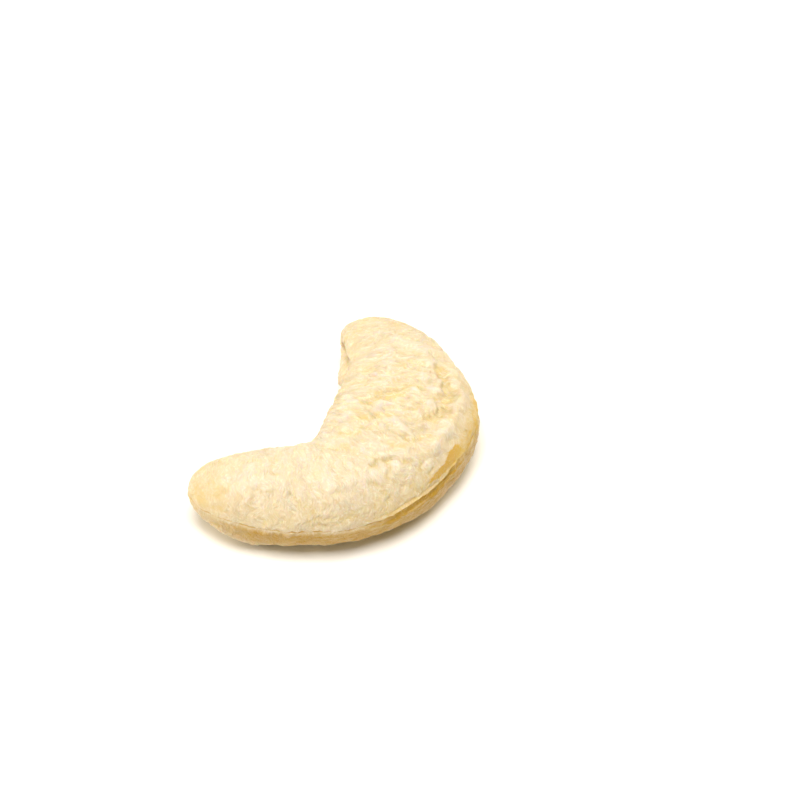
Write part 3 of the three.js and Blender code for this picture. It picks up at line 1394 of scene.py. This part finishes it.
@dataclass(frozen=True)
class KernelFlesh:
    """Finish of the kernel: waxy cream flesh, whitish dabs and a golden seam, with painted shade in
    yellow valleys, creases and lower flanks, painted highlights on crests and a painted glow by the
    seam.
    """

    cream: Colour = (0.7, 0.61, 0.48)
    pale: Colour = (0.73, 0.65, 0.545)
    yellow: Colour = (0.67, 0.51, 0.2)
    straw: Colour = (0.68, 0.56, 0.31)
    # Chalk: whitish dabs of the flesh, also used for the painted highlight on crests.
    chalk: Colour = (0.82, 0.775, 0.635)
    # Amber: golden flesh of the lower band, darkened as painted shade.
    amber: Colour = (0.48, 0.275, 0.015)
    # Honey: golden band by the seam, and a painted glow of light through the flesh near it.
    honey: Colour = (0.66, 0.44, 0.07)
    seam_gold: Colour = (0.6, 0.34, 0.03)
    gold: Colour = (0.6, 0.34, 0.02)
    brown: Colour = (0.42, 0.2, 0.05)
    dry_roughness: float = 0.36
    bare_roughness: float = 0.32
    gloss: float = 0.3
    refraction: float = 1.45
    subsurface: float = 0.65
    subsurface_radius: Sizes = (1.0, 0.62, 0.24)
    subsurface_reach: float = 0.45
    grain_size: float = 0.13
    grain_height: float = 0.02
    crepe_size: float = 0.17
    crepe_depth: float = 0.24
    blotch_size: float = 2.2
    fleck_spacing: float = 1.4
    mottle_size: float = 0.2
    swirl_length: float = 1.5
    swirl_width: float = 1.6
    dab_sizes: Sizes = (0.115, 0.34, 0.34)
    cloud_sizes: Sizes = (0.4, 0.8, 0.8)
    streak_sizes: Sizes = (2.4, 0.5, 0.15)
    fibre_sizes: Sizes = (1.0, 2.6, 2.6)
    crepe_sizes: Sizes = (1.0, 3.0, 3.0)
    crepe_spread: float = 1.3
    blotches: Mask = Mask(
        seed=3.0, detail=4.0, roughness=0.6, distortion=0.5, ramp=Ramp(0.38, 0.66)
    )
    mottles: Mask = Mask(seed=5.0, detail=3.0, roughness=0.6, distortion=0.6, ramp=Ramp(0.36, 0.68))
    dabs: Mask = Mask(seed=19.0, detail=2.0, roughness=0.65, distortion=0.6, ramp=Ramp(0.46, 0.62))
    clouds: Mask = Mask(seed=27.0, detail=3.0, roughness=0.6, distortion=0.5, ramp=Ramp(0.38, 0.64))
    fleck_places: Mask = Mask(seed=9.0, detail=1.0, ramp=Ramp(0.5, 0.6))
    streaks: Mask = Mask(
        seed=13.0, detail=2.0, roughness=0.6, distortion=0.3, ramp=Ramp(0.46, 0.64)
    )
    crumbs: Noise = Noise(seed=15.0, detail=3.0, roughness=0.65)
    fibres: Noise = Noise(seed=17.0, detail=2.0, roughness=0.6, distortion=0.4)
    crepe: Noise = Noise(seed=21.0, detail=2.0, roughness=0.6, distortion=0.7)
    crepe_places: Mask = Mask(seed=25.0, detail=1.0, ramp=Ramp(0.3, 0.65))
    fleck_edge: Ramp = Ramp(0.03, 0.1)
    above_seam: Ramp = Ramp(1.2, 3.8)
    # Crepe heights over which its valleys' painted shade fades out.
    crepe_valley_shade: Ramp = Ramp(0.36, 0.52)
    # Relief heights over which the valleys' painted shade fades out.
    skin_valley_shade: Ramp = Ramp(-0.16, 0.08)
    # Relief heights over which the crests' painted highlight rises.
    skin_crest_highlight: Ramp = Ramp(0.0, 0.12)
    patch_edge: Ramp = Ramp(0.3, 0.42)
    patch_raggedness: float = 0.3
    dab_contrast: float = 0.8
    cloud_contrast: float = 0.6
    crepe_contrast: float = 0.6
    honey_contrast: float = 0.5
    # Painted shade below the upper part: cream instead of pale, and yellower.
    lower_cream: float = 0.85
    lower_shade_share: float = 0.3
    valley_shade_share: float = 0.42
    mottle_share: float = 0.15
    crepe_shade_share: float = 0.2
    bare_share: float = 0.45
    tip_share: float = 0.26
    # Share of the creases' yellow, partly their own colour and partly painted shade.
    crease_colour_and_shade_share: float = 0.7
    patch_share: float = 0.9
    chalk_share: float = 0.7
    crest_highlight_share: float = 0.18
    unchalked_share: float = 0.85
    streak_share: float = 0.7
    crack_share: float = 0.85
    fleck_share: float = 0.35

    def read(self, wiring: Wiring, trait: Trait) -> bpy.types.Node:
        """Reads one of the surface's values.

        Args:
            wiring: The material's tree.
            trait: The value.

        Returns:
            The node that reads it.
        """
        return wiring.add("ShaderNodeAttribute", attribute_name=trait.value)

    def spaced(self, wiring: Wiring, place: Socket, size: Given) -> Socket:
        """Divides a place by one size.

        Args:
            wiring: The tree.
            place: The place.
            size: The size.

        Returns:
            The place in the pattern's own units.
        """
        return wiring.vector_math("SCALE", place, scale=wiring.math("DIVIDE", 1.0, size))

    def stretched(self, wiring: Wiring, place: Socket, sizes: Sizes) -> Socket:
        """Divides a place by one size for each axis."""
        return wiring.vector_math("DIVIDE", place, second=sizes)

    def swirled(self, wiring: Wiring, place: Socket) -> Socket:
        """Shifts a place to and fro, so that the streaks read there swirl.

        Args:
            wiring: The tree.
            place: The place.

        Returns:
            The shifted place.
        """
        spread = self.spaced(wiring, place, self.swirl_length)
        return wiring.shifted(place, spread, self.swirl_width)

    def varied(self, wiring: Wiring, mask: Socket, contrast: float) -> Socket:
        """Lifts a mask, so that it falls to 1 less its contrast where it was 0."""
        return wiring.math("MULTIPLY_ADD", mask, contrast, 1.0 - contrast)

    def group(self, name: str, inputs: Sequence[str], outputs: Sequence[str]) -> Wiring:
        """Starts a shader group that reads a place and some sizes.

        Args:
            name: The group's name.
            inputs: Names of its sizes.
            outputs: Names of its results.

        Returns:
            The group's wiring.
        """
        group = bpy.data.node_groups.new(name, "ShaderNodeTree")
        sockets = [("Place", "INPUT", "Vector")]
        sockets += [(size, "INPUT", "Float") for size in inputs]
        sockets += [(result, "OUTPUT", "Float") for result in outputs]
        for label, side, kind in sockets:
            group.interface.new_socket(label, in_out=side, socket_type=f"NodeSocket{kind}")
        return Wiring(group)

    def mottling(self) -> bpy.types.NodeTree:
        """Builds the group that mottles the flesh.

        Returns:
            A group with masks of its blotches, mottles, chalky dabs, flecks and streaks, and one of
            the upper part of the kernel.
        """
        results = ("Blotches", "Mottles", "Chalk", "Flecks", "Streaks", "Above Seam")
        wiring = self.group("nut_mottling", ("Blotch Size", "Fleck Spacing"), results)
        given = wiring.add("NodeGroupInput").outputs
        place, blotch_size = given["Place"], given["Blotch Size"]
        broad = self.spaced(wiring, place, blotch_size)
        near = self.spaced(wiring, place, wiring.times(blotch_size, self.mottle_size))
        swirled = self.swirled(wiring, place)
        dabs = wiring.mask(self.stretched(wiring, swirled, self.dab_sizes), self.dabs)
        clouds = wiring.mask(self.stretched(wiring, swirled, self.cloud_sizes), self.clouds)
        apart = self.spaced(wiring, place, given["Fleck Spacing"])
        drawn = self.stretched(wiring, place, self.streak_sizes)
        height = wiring.add("ShaderNodeSeparateXYZ", {0: place}).outputs[2]
        masks = (
            wiring.mask(broad, self.blotches),
            wiring.mask(near, self.mottles),
            wiring.times(
                self.varied(wiring, dabs, self.dab_contrast),
                self.varied(wiring, clouds, self.cloud_contrast),
            ),
            wiring.times(
                wiring.dots(apart, self.fleck_edge), wiring.mask(apart, self.fleck_places)
            ),
            wiring.mask(drawn, self.streaks),
            wiring.step(height, self.above_seam),
        )
        wiring.add("NodeGroupOutput", dict(zip(results, masks)))
        return wiring.tree

    def grain(self) -> bpy.types.NodeTree:
        """Builds the group that gives the flesh its fine grain.

        Returns:
            A group with the grain's height and a mask of its valleys, which get painted shade.
        """
        sizes = ("Grain Size", "Grain Height", "Crepe Size", "Crepe Depth")
        wiring = self.group("nut_grain", sizes, ("Height", "Valley Shade"))
        given = wiring.add("NodeGroupInput").outputs
        place = self.spaced(wiring, given["Place"], given["Grain Size"])
        crumbs = wiring.noise(place, self.crumbs)
        fibres = wiring.noise(self.stretched(wiring, place, self.fibre_sizes), self.fibres)
        grain = wiring.times(wiring.math("ADD", crumbs, fibres), given["Grain Height"])
        swirled = self.spaced(wiring, self.swirled(wiring, given["Place"]), given["Crepe Size"])
        folded = wiring.noise(self.stretched(wiring, swirled, self.crepe_sizes), self.crepe)
        depth = wiring.times(wiring.math("SUBTRACT", folded, 0.5), given["Crepe Depth"])
        apart = self.spaced(wiring, given["Place"], self.crepe_spread)
        uneven = self.varied(wiring, wiring.mask(apart, self.crepe_places), self.crepe_contrast)
        height = wiring.math("MULTIPLY_ADD", depth, uneven, grain)
        # Mask of the crepe's valleys, which get painted shade.
        valley = wiring.inverse(wiring.step(folded, self.crepe_valley_shade))
        wiring.add("NodeGroupOutput", {"Height": height, "Valley Shade": valley})
        return wiring.tree

    def colour(self, wiring: Wiring, mottling: bpy.types.Node, grain: bpy.types.Node) -> Socket:
        """Mixes the flesh's colours, one layer over the other, among them painted shade, a painted glow
        and painted highlights.

        Args:
            wiring: The material's tree.
            mottling: The mottling group's node.
            grain: The grain group's node.

        Returns:
            The colour.
        """
        crest, bare, tip, creased, patch = (
            self.read(wiring, trait).outputs["Fac"]
            for trait in (Trait.CREST, Trait.BARE, Trait.TIP, Trait.CREASED, Trait.PATCH)
        )
        gold, honey, lower, lip, crack = (
            self.read(wiring, trait).outputs["Fac"]
            for trait in (Trait.GOLD, Trait.HONEY, Trait.LOWER, Trait.LIP, Trait.CRACK)
        )
        mask = mottling.outputs
        # Painted shade: below the upper part the flesh turns cream and yellower.
        painted_shade_below = wiring.inverse(mask["Above Seam"])
        cream_blotches_and_shade = wiring.math("MAXIMUM", mask["Blotches"], wiring.times(painted_shade_below, self.lower_cream))
        raggedness = self.patch_raggedness
        ragged = wiring.math("MULTIPLY_ADD", mask["Mottles"], raggedness, -0.5 * raggedness)
        flaked = wiring.step(wiring.math("ADD", patch, ragged), self.patch_edge)
        contrast = self.honey_contrast
        mottled = wiring.math("MULTIPLY_ADD", mask["Mottles"], contrast, 1.0 - 0.5 * contrast)
        chalky = wiring.times(mask["Chalk"], self.chalk_share)
        # Painted highlight: chalky white on the relief's crests.
        raised = wiring.times(wiring.step(crest, self.skin_crest_highlight), self.crest_highlight_share)
        unchalked = wiring.times(lower, self.unchalked_share)
        golden = wiring.combine("MAXIMUM", gold, bare, unchalked, honey)
        kept = wiring.calmed(golden, self.unchalked_share)
        layers = (
            # Painted shade: yellow below the upper part.
            (painted_shade_below, self.lower_shade_share, self.yellow),
            # Painted shade: yellow in the relief's valleys.
            (wiring.inverse(wiring.step(crest, self.skin_valley_shade)), self.valley_shade_share, self.yellow),
            (mask["Mottles"], self.mottle_share, self.yellow),
            # Painted shade: yellow in the crepe's fine valleys.
            (grain.outputs["Valley Shade"], self.crepe_shade_share, self.yellow),
            (bare, self.bare_share, self.yellow),
            (tip, self.tip_share, self.yellow),
            # Creases: yellow, partly their own colour and partly painted shade.
            (creased, self.crease_colour_and_shade_share, self.yellow),
            (wiring.times(flaked, bare), self.patch_share, self.gold),
            (gold, 1.0, self.gold),
            # Honey: golden band by the seam, and a painted glow near and under it.
            (wiring.times(honey, mottled), 1.0, self.honey),
            # Lower band under the seam: amber, golden flesh with painted shade.
            (lower, 1.0, self.amber),
            # Whitish dabs of the flesh, and the crests' painted highlight, in chalk white.
            (wiring.times(wiring.math("MAXIMUM", chalky, raised), kept), 1.0, self.chalk),
            (wiring.times(mask["Streaks"], lip), self.streak_share, self.straw),
            (crack, self.crack_share, self.seam_gold),
            (mask["Flecks"], self.fleck_share, self.brown),
        )
        colour = wiring.mix_colour(cream_blotches_and_shade, self.pale, self.cream)
        for place, share, tint in layers:
            colour = wiring.mix_colour(wiring.times(place, share), colour, tint)
        return colour

    def material(self) -> bpy.types.Material:
        """Builds the material.

        Returns:
            The material.
        """
        material = bpy.data.materials.new("kernel_flesh")
        material.use_nodes = True
        material.node_tree.nodes.clear()
        wiring = Wiring(material.node_tree)
        place = self.read(wiring, Trait.UNBENT).outputs["Vector"]
        kind = "ShaderNodeGroup"
        mottling = wiring.add(kind, node_tree=self.mottling())
        grain = wiring.add(kind, node_tree=self.grain())
        sizes = (
            (mottling, "Place", place),
            (mottling, "Blotch Size", self.blotch_size),
            (mottling, "Fleck Spacing", self.fleck_spacing),
            (grain, "Place", place),
            (grain, "Grain Size", self.grain_size),
            (grain, "Grain Height", self.grain_height),
            (grain, "Crepe Size", self.crepe_size),
            (grain, "Crepe Depth", self.crepe_depth),
        )
        for node, name, value in sizes:
            wiring.give(node, name, value)
        bare = self.read(wiring, Trait.BARE).outputs["Fac"]
        spread = self.bare_roughness - self.dry_roughness
        roughness = wiring.math("MULTIPLY_ADD", bare, spread, self.dry_roughness)
        given = {"Height": grain.outputs["Height"], "Distance": MM, "Strength": 1.0}
        normal = wiring.add("ShaderNodeBump", given).outputs[0]
        shader = wiring.add(
            "ShaderNodeBsdfPrincipled",
            {
                "Base Color": self.colour(wiring, mottling, grain),
                "Roughness": roughness,
                "Normal": normal,
                "Subsurface Weight": self.subsurface,
                "Subsurface Radius": self.subsurface_radius,
                "Subsurface Scale": self.subsurface_reach * MM,
                "Specular IOR Level": self.gloss,
                "IOR": self.refraction,
            },
        )
        wiring.add("ShaderNodeOutputMaterial", {"Surface": shader.outputs[0]})
        return material


@dataclass
class Kernel:
    """The kernel: one bent nut of two halves grown together."""

    name: str = "cashew_kernel_skin"
    node: str = "cashew_kernel"
    slot: str = "kernel_flesh"
    rings: int = 430
    sides: int = 230
    under_share: float = 0.45
    seam_crowding: float = 3.0
    cleft_crowding: float = 1.5
    crowding_angle: float = 12.0
    angle_samples: int = 7200
    tip_crowding: int = 4
    form: KernelForm = field(default_factory=KernelForm)
    relief: SkinRelief = field(default_factory=SkinRelief)
    finish: KernelFlesh = field(default_factory=KernelFlesh)
    blunt_arm: Stretch = Stretch(starts_at=17.5, ends_at=27.0, fade=3.0)
    ripple_reach: Stretch = Stretch(starts_at=7.5, ends_at=20.5, fade=2.0)
    ripple_height: float = 1.7
    ripple_width: float = 1.4
    ripple_crumple: float = 0.5
    rim_calm: float = 0.85
    outer_rim: Ramp = Ramp(0.45, 0.8)
    hollow_rim: Ramp = Ramp(0.4, 0.85)
    upper_face: Ramp = Ramp(-1.0, 1.0)
    everywhere_folds: float = 0.3
    everywhere_crumple: float = 0.25
    everywhere_wrinkles: float = 0.6
    everywhere_ripples: float = 0.15
    lip_reach: Stretch = Stretch(starts_at=9.5, ends_at=22.0, fade=1.5)
    lip_height: float = -1.0
    lip_width: float = 0.6
    # Fold depth at which a crease's yellow, partly painted shade, is full.
    crease_depth: float = 0.09
    tip_end: Ramp = Ramp(1.0, 6.5)
    tip_smoothness: float = 0.6
    patch_smoothness: float = 0.7
    # Lower band under the seam, where amber painted shade goes over golden flesh.
    lower_edge: Ramp = Ramp(-0.7, 0.15)
    lower_base: Ramp = Ramp(-4.4, -2.0)
    flank: Ramp = Ramp(0.05, 0.6)
    lower_reach: Stretch = Stretch(starts_at=4.0, ends_at=22.5, fade=3.0)
    lower_fading: float = 0.65
    # Painted glow near and under the seam at the bend, and the golden band above it.
    glow_reach: Stretch = Stretch(starts_at=13.5, ends_at=23.0, fade=2.5)
    glow_fade: Ramp = Ramp(0.0, 2.4)
    glow_share: float = 0.45
    gold_band: Stretch = Stretch(starts_at=19.5, ends_at=25.5, fade=1.5)
    gold_band_height: float = 0.45
    gold_band_width: float = 1.25
    band_share: float = 0.9
    gold_patches: tuple[Spot, ...] = (
        Spot(along=19.9, around=20.0, height=1.0, length=0.8, width=0.75),
        Spot(along=18.4, around=16.0, height=1.0, length=0.9, width=0.45),
    )

    def angles(self) -> np.ndarray:
        """Spreads a ring's points, closer on the upper half and closest at the seam and cleft.

        Returns:
            Angles in degrees, from the outer edge over the top and back underneath.
        """
        fine = np.linspace(0.0, 360.0, self.angle_samples + 1)
        density = np.where(fine <= 180.0, 1.0, self.under_share)
        for middle, extra in ((0.0, self.seam_crowding), (180.0, self.cleft_crowding)):
            away = np.degrees(girth_distance(fine, middle, 1.0))
            density = density + extra * bump(away, self.crowding_angle)
        total = np.concatenate([[0.0], np.cumsum(0.5 * (density[1:] + density[:-1]))])
        wanted = np.arange(self.sides) / self.sides * total[-1]
        return np.interp(wanted, total, fine)

    def ring_places(self) -> np.ndarray:
        """Spreads the rings, closer towards both tips.

        Returns:
            Places from 0 to 1, without the tips themselves.
        """
        place = 2.0 * np.arange(1, self.rings) / self.rings - 1.0
        power = self.tip_crowding
        return 0.5 + place * (1.0 + power - place**power) / (2.0 * power)

    def faces(self, rings: int) -> list[tuple[int, ...]]:
        """Joins the rings and closes both tips.

        Args:
            rings: Number of rings.

        Returns:
            Faces as lists of point numbers, all facing outwards.
        """
        side = np.arange(self.sides)
        following = (side + 1) % self.sides
        first = np.arange(rings - 1)[:, None] * self.sides
        second = first + self.sides
        corners = [first + side, second + side, second + following, first + following]
        quads = np.stack(corners, axis=-1).reshape(-1, 4)
        pointed = rings * self.sides
        last = (rings - 1) * self.sides
        fans = [(pointed, int(a), int(b)) for a, b in zip(side, following)]
        fans += [(last + int(a), pointed + 1, last + int(b)) for a, b in zip(side, following)]
        return [tuple(map(int, quad)) for quad in quads] + fans

    def traits(self, surface: Surface) -> dict[Trait, np.ndarray]:
        """Works out what each point carries for its relief and its colours.

        Args:
            surface: Places on the smooth surface.

        Returns:
            One value, or one vector, for each point.
        """
        seam, along = self.form.seam, surface.along
        outward = np.maximum(surface.outward, 0.0)
        offset = seam.offset(surface)
        hairline = seam.hairline(surface) * outward * surface.tip_fade(self.form.tip_reach)
        crack = hairline * (1.0 - seam.groove.mask(along)) + self.form.cleft.crack(surface)
        patch = np.clip(sum(spot.relief(surface) for spot in self.gold_patches), 0.0, 1.0)
        tip = 1.0 - self.tip_end.rise(along)
        ripple = bump(offset - self.ripple_height, self.ripple_width)
        ripple = ripple * self.ripple_reach.mask(along) * outward
        lip = bump(offset - self.lip_height, self.lip_width) * outward
        # Creases and the second seam line: where yellow colour and painted shade go.
        folded = -self.form.folds.relief(surface) / self.crease_depth
        folded = np.maximum(folded, seam.second(surface) * outward)
        band = bump(offset - self.gold_band_height, self.gold_band_width)
        band = self.band_share * band * self.gold_band.mask(along) * outward
        # Painted glow: honey near and under the seam at the bend, fading upwards.
        glow = self.glow_share * (1.0 - self.glow_fade.rise(offset))
        flank = self.flank.rise(surface.outward)
        # Lower band on the outer flank under the seam: golden flesh and painted shade.
        lower = (1.0 - self.lower_edge.rise(offset)) * self.lower_base.rise(offset) * flank
        lower = lower * (1.0 - self.lower_fading * (1.0 - self.lower_reach.mask(along)))
        puffed = self.blunt_arm.mask(along) * self.upper_face.rise(surface.height)
        puffed = puffed * (1.0 - self.rim_calm * self.outer_rim.rise(outward))
        puffed = puffed * (1.0 - self.rim_calm * self.hollow_rim.rise(-surface.outward))
        rough = np.clip(puffed + self.ripple_crumple * ripple, 0.0, 1.0)
        smooth = self.patch_smoothness * patch + self.tip_smoothness * tip
        return {
            Trait.UNBENT: np.stack([along, surface.across, surface.height], axis=-1),
            Trait.FOLDS: at_least(puffed, self.everywhere_folds),
            Trait.CRUMPLED: at_least(rough, self.everywhere_crumple),
            Trait.WRINKLED: at_least(puffed, self.everywhere_wrinkles),
            Trait.RIPPLED: at_least(ripple, self.everywhere_ripples),
            Trait.SMOOTH: np.clip(smooth, 0.0, 1.0),
            Trait.GOLD: seam.floor(surface) * outward,
            Trait.PATCH: patch,
            Trait.CREASED: np.clip(folded, 0.0, 1.0),
            Trait.CRACK: np.clip(crack, 0.0, 1.0),
            Trait.LIP: lip * self.lip_reach.mask(along),
            Trait.TIP: tip,
            Trait.LOWER: lower,
            Trait.HONEY: np.maximum(glow * self.glow_reach.mask(along), band) * flank,
        }

    def mesh(self) -> bpy.types.Mesh:
        """Builds the mesh with its values, centred as its solid is.

        Returns:
            The mesh, in metres.
        """
        places = self.ring_places()
        points, surface = self.form.points(places, self.angles())
        tips = self.form.spine(np.array([0.0, 1.0]))
        tips = np.concatenate([tips, np.full((2, 1), self.form.seam_height)], axis=1)
        vertices = np.concatenate([points.reshape(-1, 3), tips]) * MM
        low, high = (np.array(corner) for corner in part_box(self.node))
        middle = 0.5 * (vertices.min(0) + vertices.max(0))
        vertices[:, :2] += (0.5 * (low + high) - middle)[:2]
        mesh = bpy.data.meshes.new(self.name)
        mesh.from_pydata(vertices.tolist(), [], self.faces(len(places)))
        for trait, value in self.traits(surface).items():
            is_vector = trait is Trait.UNBENT
            kind, channel = ("FLOAT_VECTOR", "vector") if is_vector else ("FLOAT", "value")
            flat = value.reshape(-1, 3 if is_vector else 1)
            ends = np.stack([flat[: self.sides].mean(0), flat[-self.sides :].mean(0)])
            flat = np.concatenate([flat, ends]).astype(np.float32)
            attribute = mesh.attributes.new(trait.value, kind, "POINT")
            attribute.data.foreach_set(channel, flat.ravel())
        mesh.polygons.foreach_set("use_smooth", [True] * len(mesh.polygons))
        mesh.update()
        return mesh

    def build(self) -> bpy.types.Object:
        """Builds the kernel and dresses it.

        Returns:
            The finished piece, riding on the part's body.
        """
        piece = bpy.data.objects.new(self.name, self.mesh())
        bpy.context.collection.objects.link(piece)
        self.relief.apply(piece, self.finish.material())
        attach(piece, "root")
        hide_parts(self.node)
        return piece


@dataclass(frozen=True)
class SoftLight:
    """Square soft light. Its turn is in degrees, clockwise from straight behind the kernel."""

    name: str
    turn: float
    elevation: float
    power: float
    size: float = 160.0
    distance: float = 400.0
    colour: Colour = (1.0, 0.99, 0.97)

    def build(self, aim: Vector, forward: float) -> bpy.types.Object:
        """Builds the light.

        Args:
            aim: Point that it faces, in metres.
            forward: The camera's compass angle from +Y, in degrees.

        Returns:
            The light.
        """
        heading, rise = math.radians(forward + self.turn), math.radians(self.elevation)
        level = math.cos(rise)
        towards = Vector((level * math.sin(heading), level * math.cos(heading), math.sin(rise)))
        data = bpy.data.lights.new(self.name, "AREA")
        data.shape = "SQUARE"
        data.size = self.size * MM
        data.energy = self.power
        data.color = self.colour
        light = bpy.data.objects.new(self.name, data)
        light.location = aim + towards * self.distance * MM
        light.rotation_euler = (aim - light.location).to_track_quat("-Z", "Y").to_euler()
        bpy.context.collection.objects.link(light)
        return light


@dataclass
class Studio:
    """Plain pale floor, soft lights and the camera at the picture's angle."""

    floor_size: float = 4000.0
    floor_colour: Colour = (0.93, 0.93, 0.925)
    floor_roughness: float = 0.5
    floor_gloss: float = 0.2
    ambient_colour: Colour = (1.0, 0.72, 0.38)
    ambient_strength: float = 0.17
    lights: tuple[SoftLight, ...] = (
        SoftLight("overhead_softbox", turn=180.0, elevation=72.0, power=1.86),
        SoftLight("left_softbox", turn=270.0, elevation=20.0, power=0.77, colour=(1.0, 0.9, 0.74)),
        SoftLight("right_softbox", turn=45.0, elevation=20.0, power=0.57, colour=(1.0, 0.9, 0.72)),
        SoftLight("back_softbox", turn=0.0, elevation=30.0, power=0.34, colour=(1.0, 0.9, 0.72)),
    )
    lit_point: Sizes = (0.0, 0.0, 4.0)
    seam_point: Sizes = (0.365, 1.99, 5.1)
    distance: float = 300.0
    nearest: float = 10.0
    furthest: float = 10000.0
    elevation: float = 49.0
    azimuth: float = 50.0
    shift_right: float = 5.74
    shift_up: float = 2.61
    lens: float = 155.0
    sensor: float = 36.0

    def floor(self) -> bpy.types.Object:
        """Builds the floor.

        Returns:
            The floor, marked as stage.
        """
        half = 0.5 * self.floor_size * MM
        mesh = bpy.data.meshes.new("floor")
        corners = [(-half, -half, 0.0), (half, -half, 0.0), (half, half, 0.0), (-half, half, 0.0)]
        mesh.from_pydata(corners, [], [(0, 1, 2, 3)])
        material = bpy.data.materials.new("pale_floor")
        material.use_nodes = True
        shader = material.node_tree.nodes["Principled BSDF"]
        shader.inputs["Base Color"].default_value = (*self.floor_colour, 1.0)
        shader.inputs["Roughness"].default_value = self.floor_roughness
        shader.inputs["Specular IOR Level"].default_value = self.floor_gloss
        mesh.materials.append(material)
        floor = bpy.data.objects.new("floor", mesh)
        bpy.context.collection.objects.link(floor)
        return floor

    def ambient(self) -> None:
        """Sets the soft light from all round."""
        world = bpy.data.worlds.new("studio")
        world.use_nodes = True
        background = world.node_tree.nodes["Background"]
        background.inputs["Color"].default_value = (*self.ambient_colour, 1.0)
        background.inputs["Strength"].default_value = self.ambient_strength
        bpy.context.scene.world = world

    def camera(self) -> bpy.types.Object:
        """Builds the camera.

        Returns:
            The camera, set as the scene's.
        """
        turn, tilt = math.radians(self.azimuth), math.radians(self.elevation)
        level = math.cos(tilt)
        forward = Vector((level * math.sin(turn), level * math.cos(turn), -math.sin(tilt)))
        right = Vector((math.cos(turn), -math.sin(turn), 0.0))
        upward = right.cross(forward)
        aim = Vector(self.seam_point) + right * self.shift_right + upward * self.shift_up
        data = bpy.data.cameras.new("camera")
        data.lens = self.lens
        data.sensor_width = self.sensor
        data.clip_start = self.nearest * MM
        data.clip_end = self.furthest * MM
        camera = bpy.data.objects.new("camera", data)
        camera.location = (aim - forward * self.distance) * MM
        camera.rotation_euler = forward.to_track_quat("-Z", "Y").to_euler()
        bpy.context.collection.objects.link(camera)
        bpy.context.scene.camera = camera
        return camera

    def build(self) -> list[bpy.types.Object]:
        """Builds floor, lights and camera.

        Returns:
            All of them.
        """
        aim = Vector(self.lit_point) * MM
        self.ambient()
        settings = bpy.context.scene.view_settings
        settings.view_transform = "Standard"
        settings.look = "None"
        lights = [light.build(aim, self.azimuth) for light in self.lights]
        return [self.camera(), self.floor(), *lights]


def main() -> None:
    """Builds the studio and the kernel in order and reports each piece."""
    logging.basicConfig(level=logging.INFO, format="%(name)s: %(message)s")
    for made in Studio().build():
        LOG.info("placed %s", made.name)
    kernel = Kernel().build()
    LOG.info("built %s with %d faces", kernel.name, len(kernel.data.polygons))


if __name__ == "__main__":
    main()
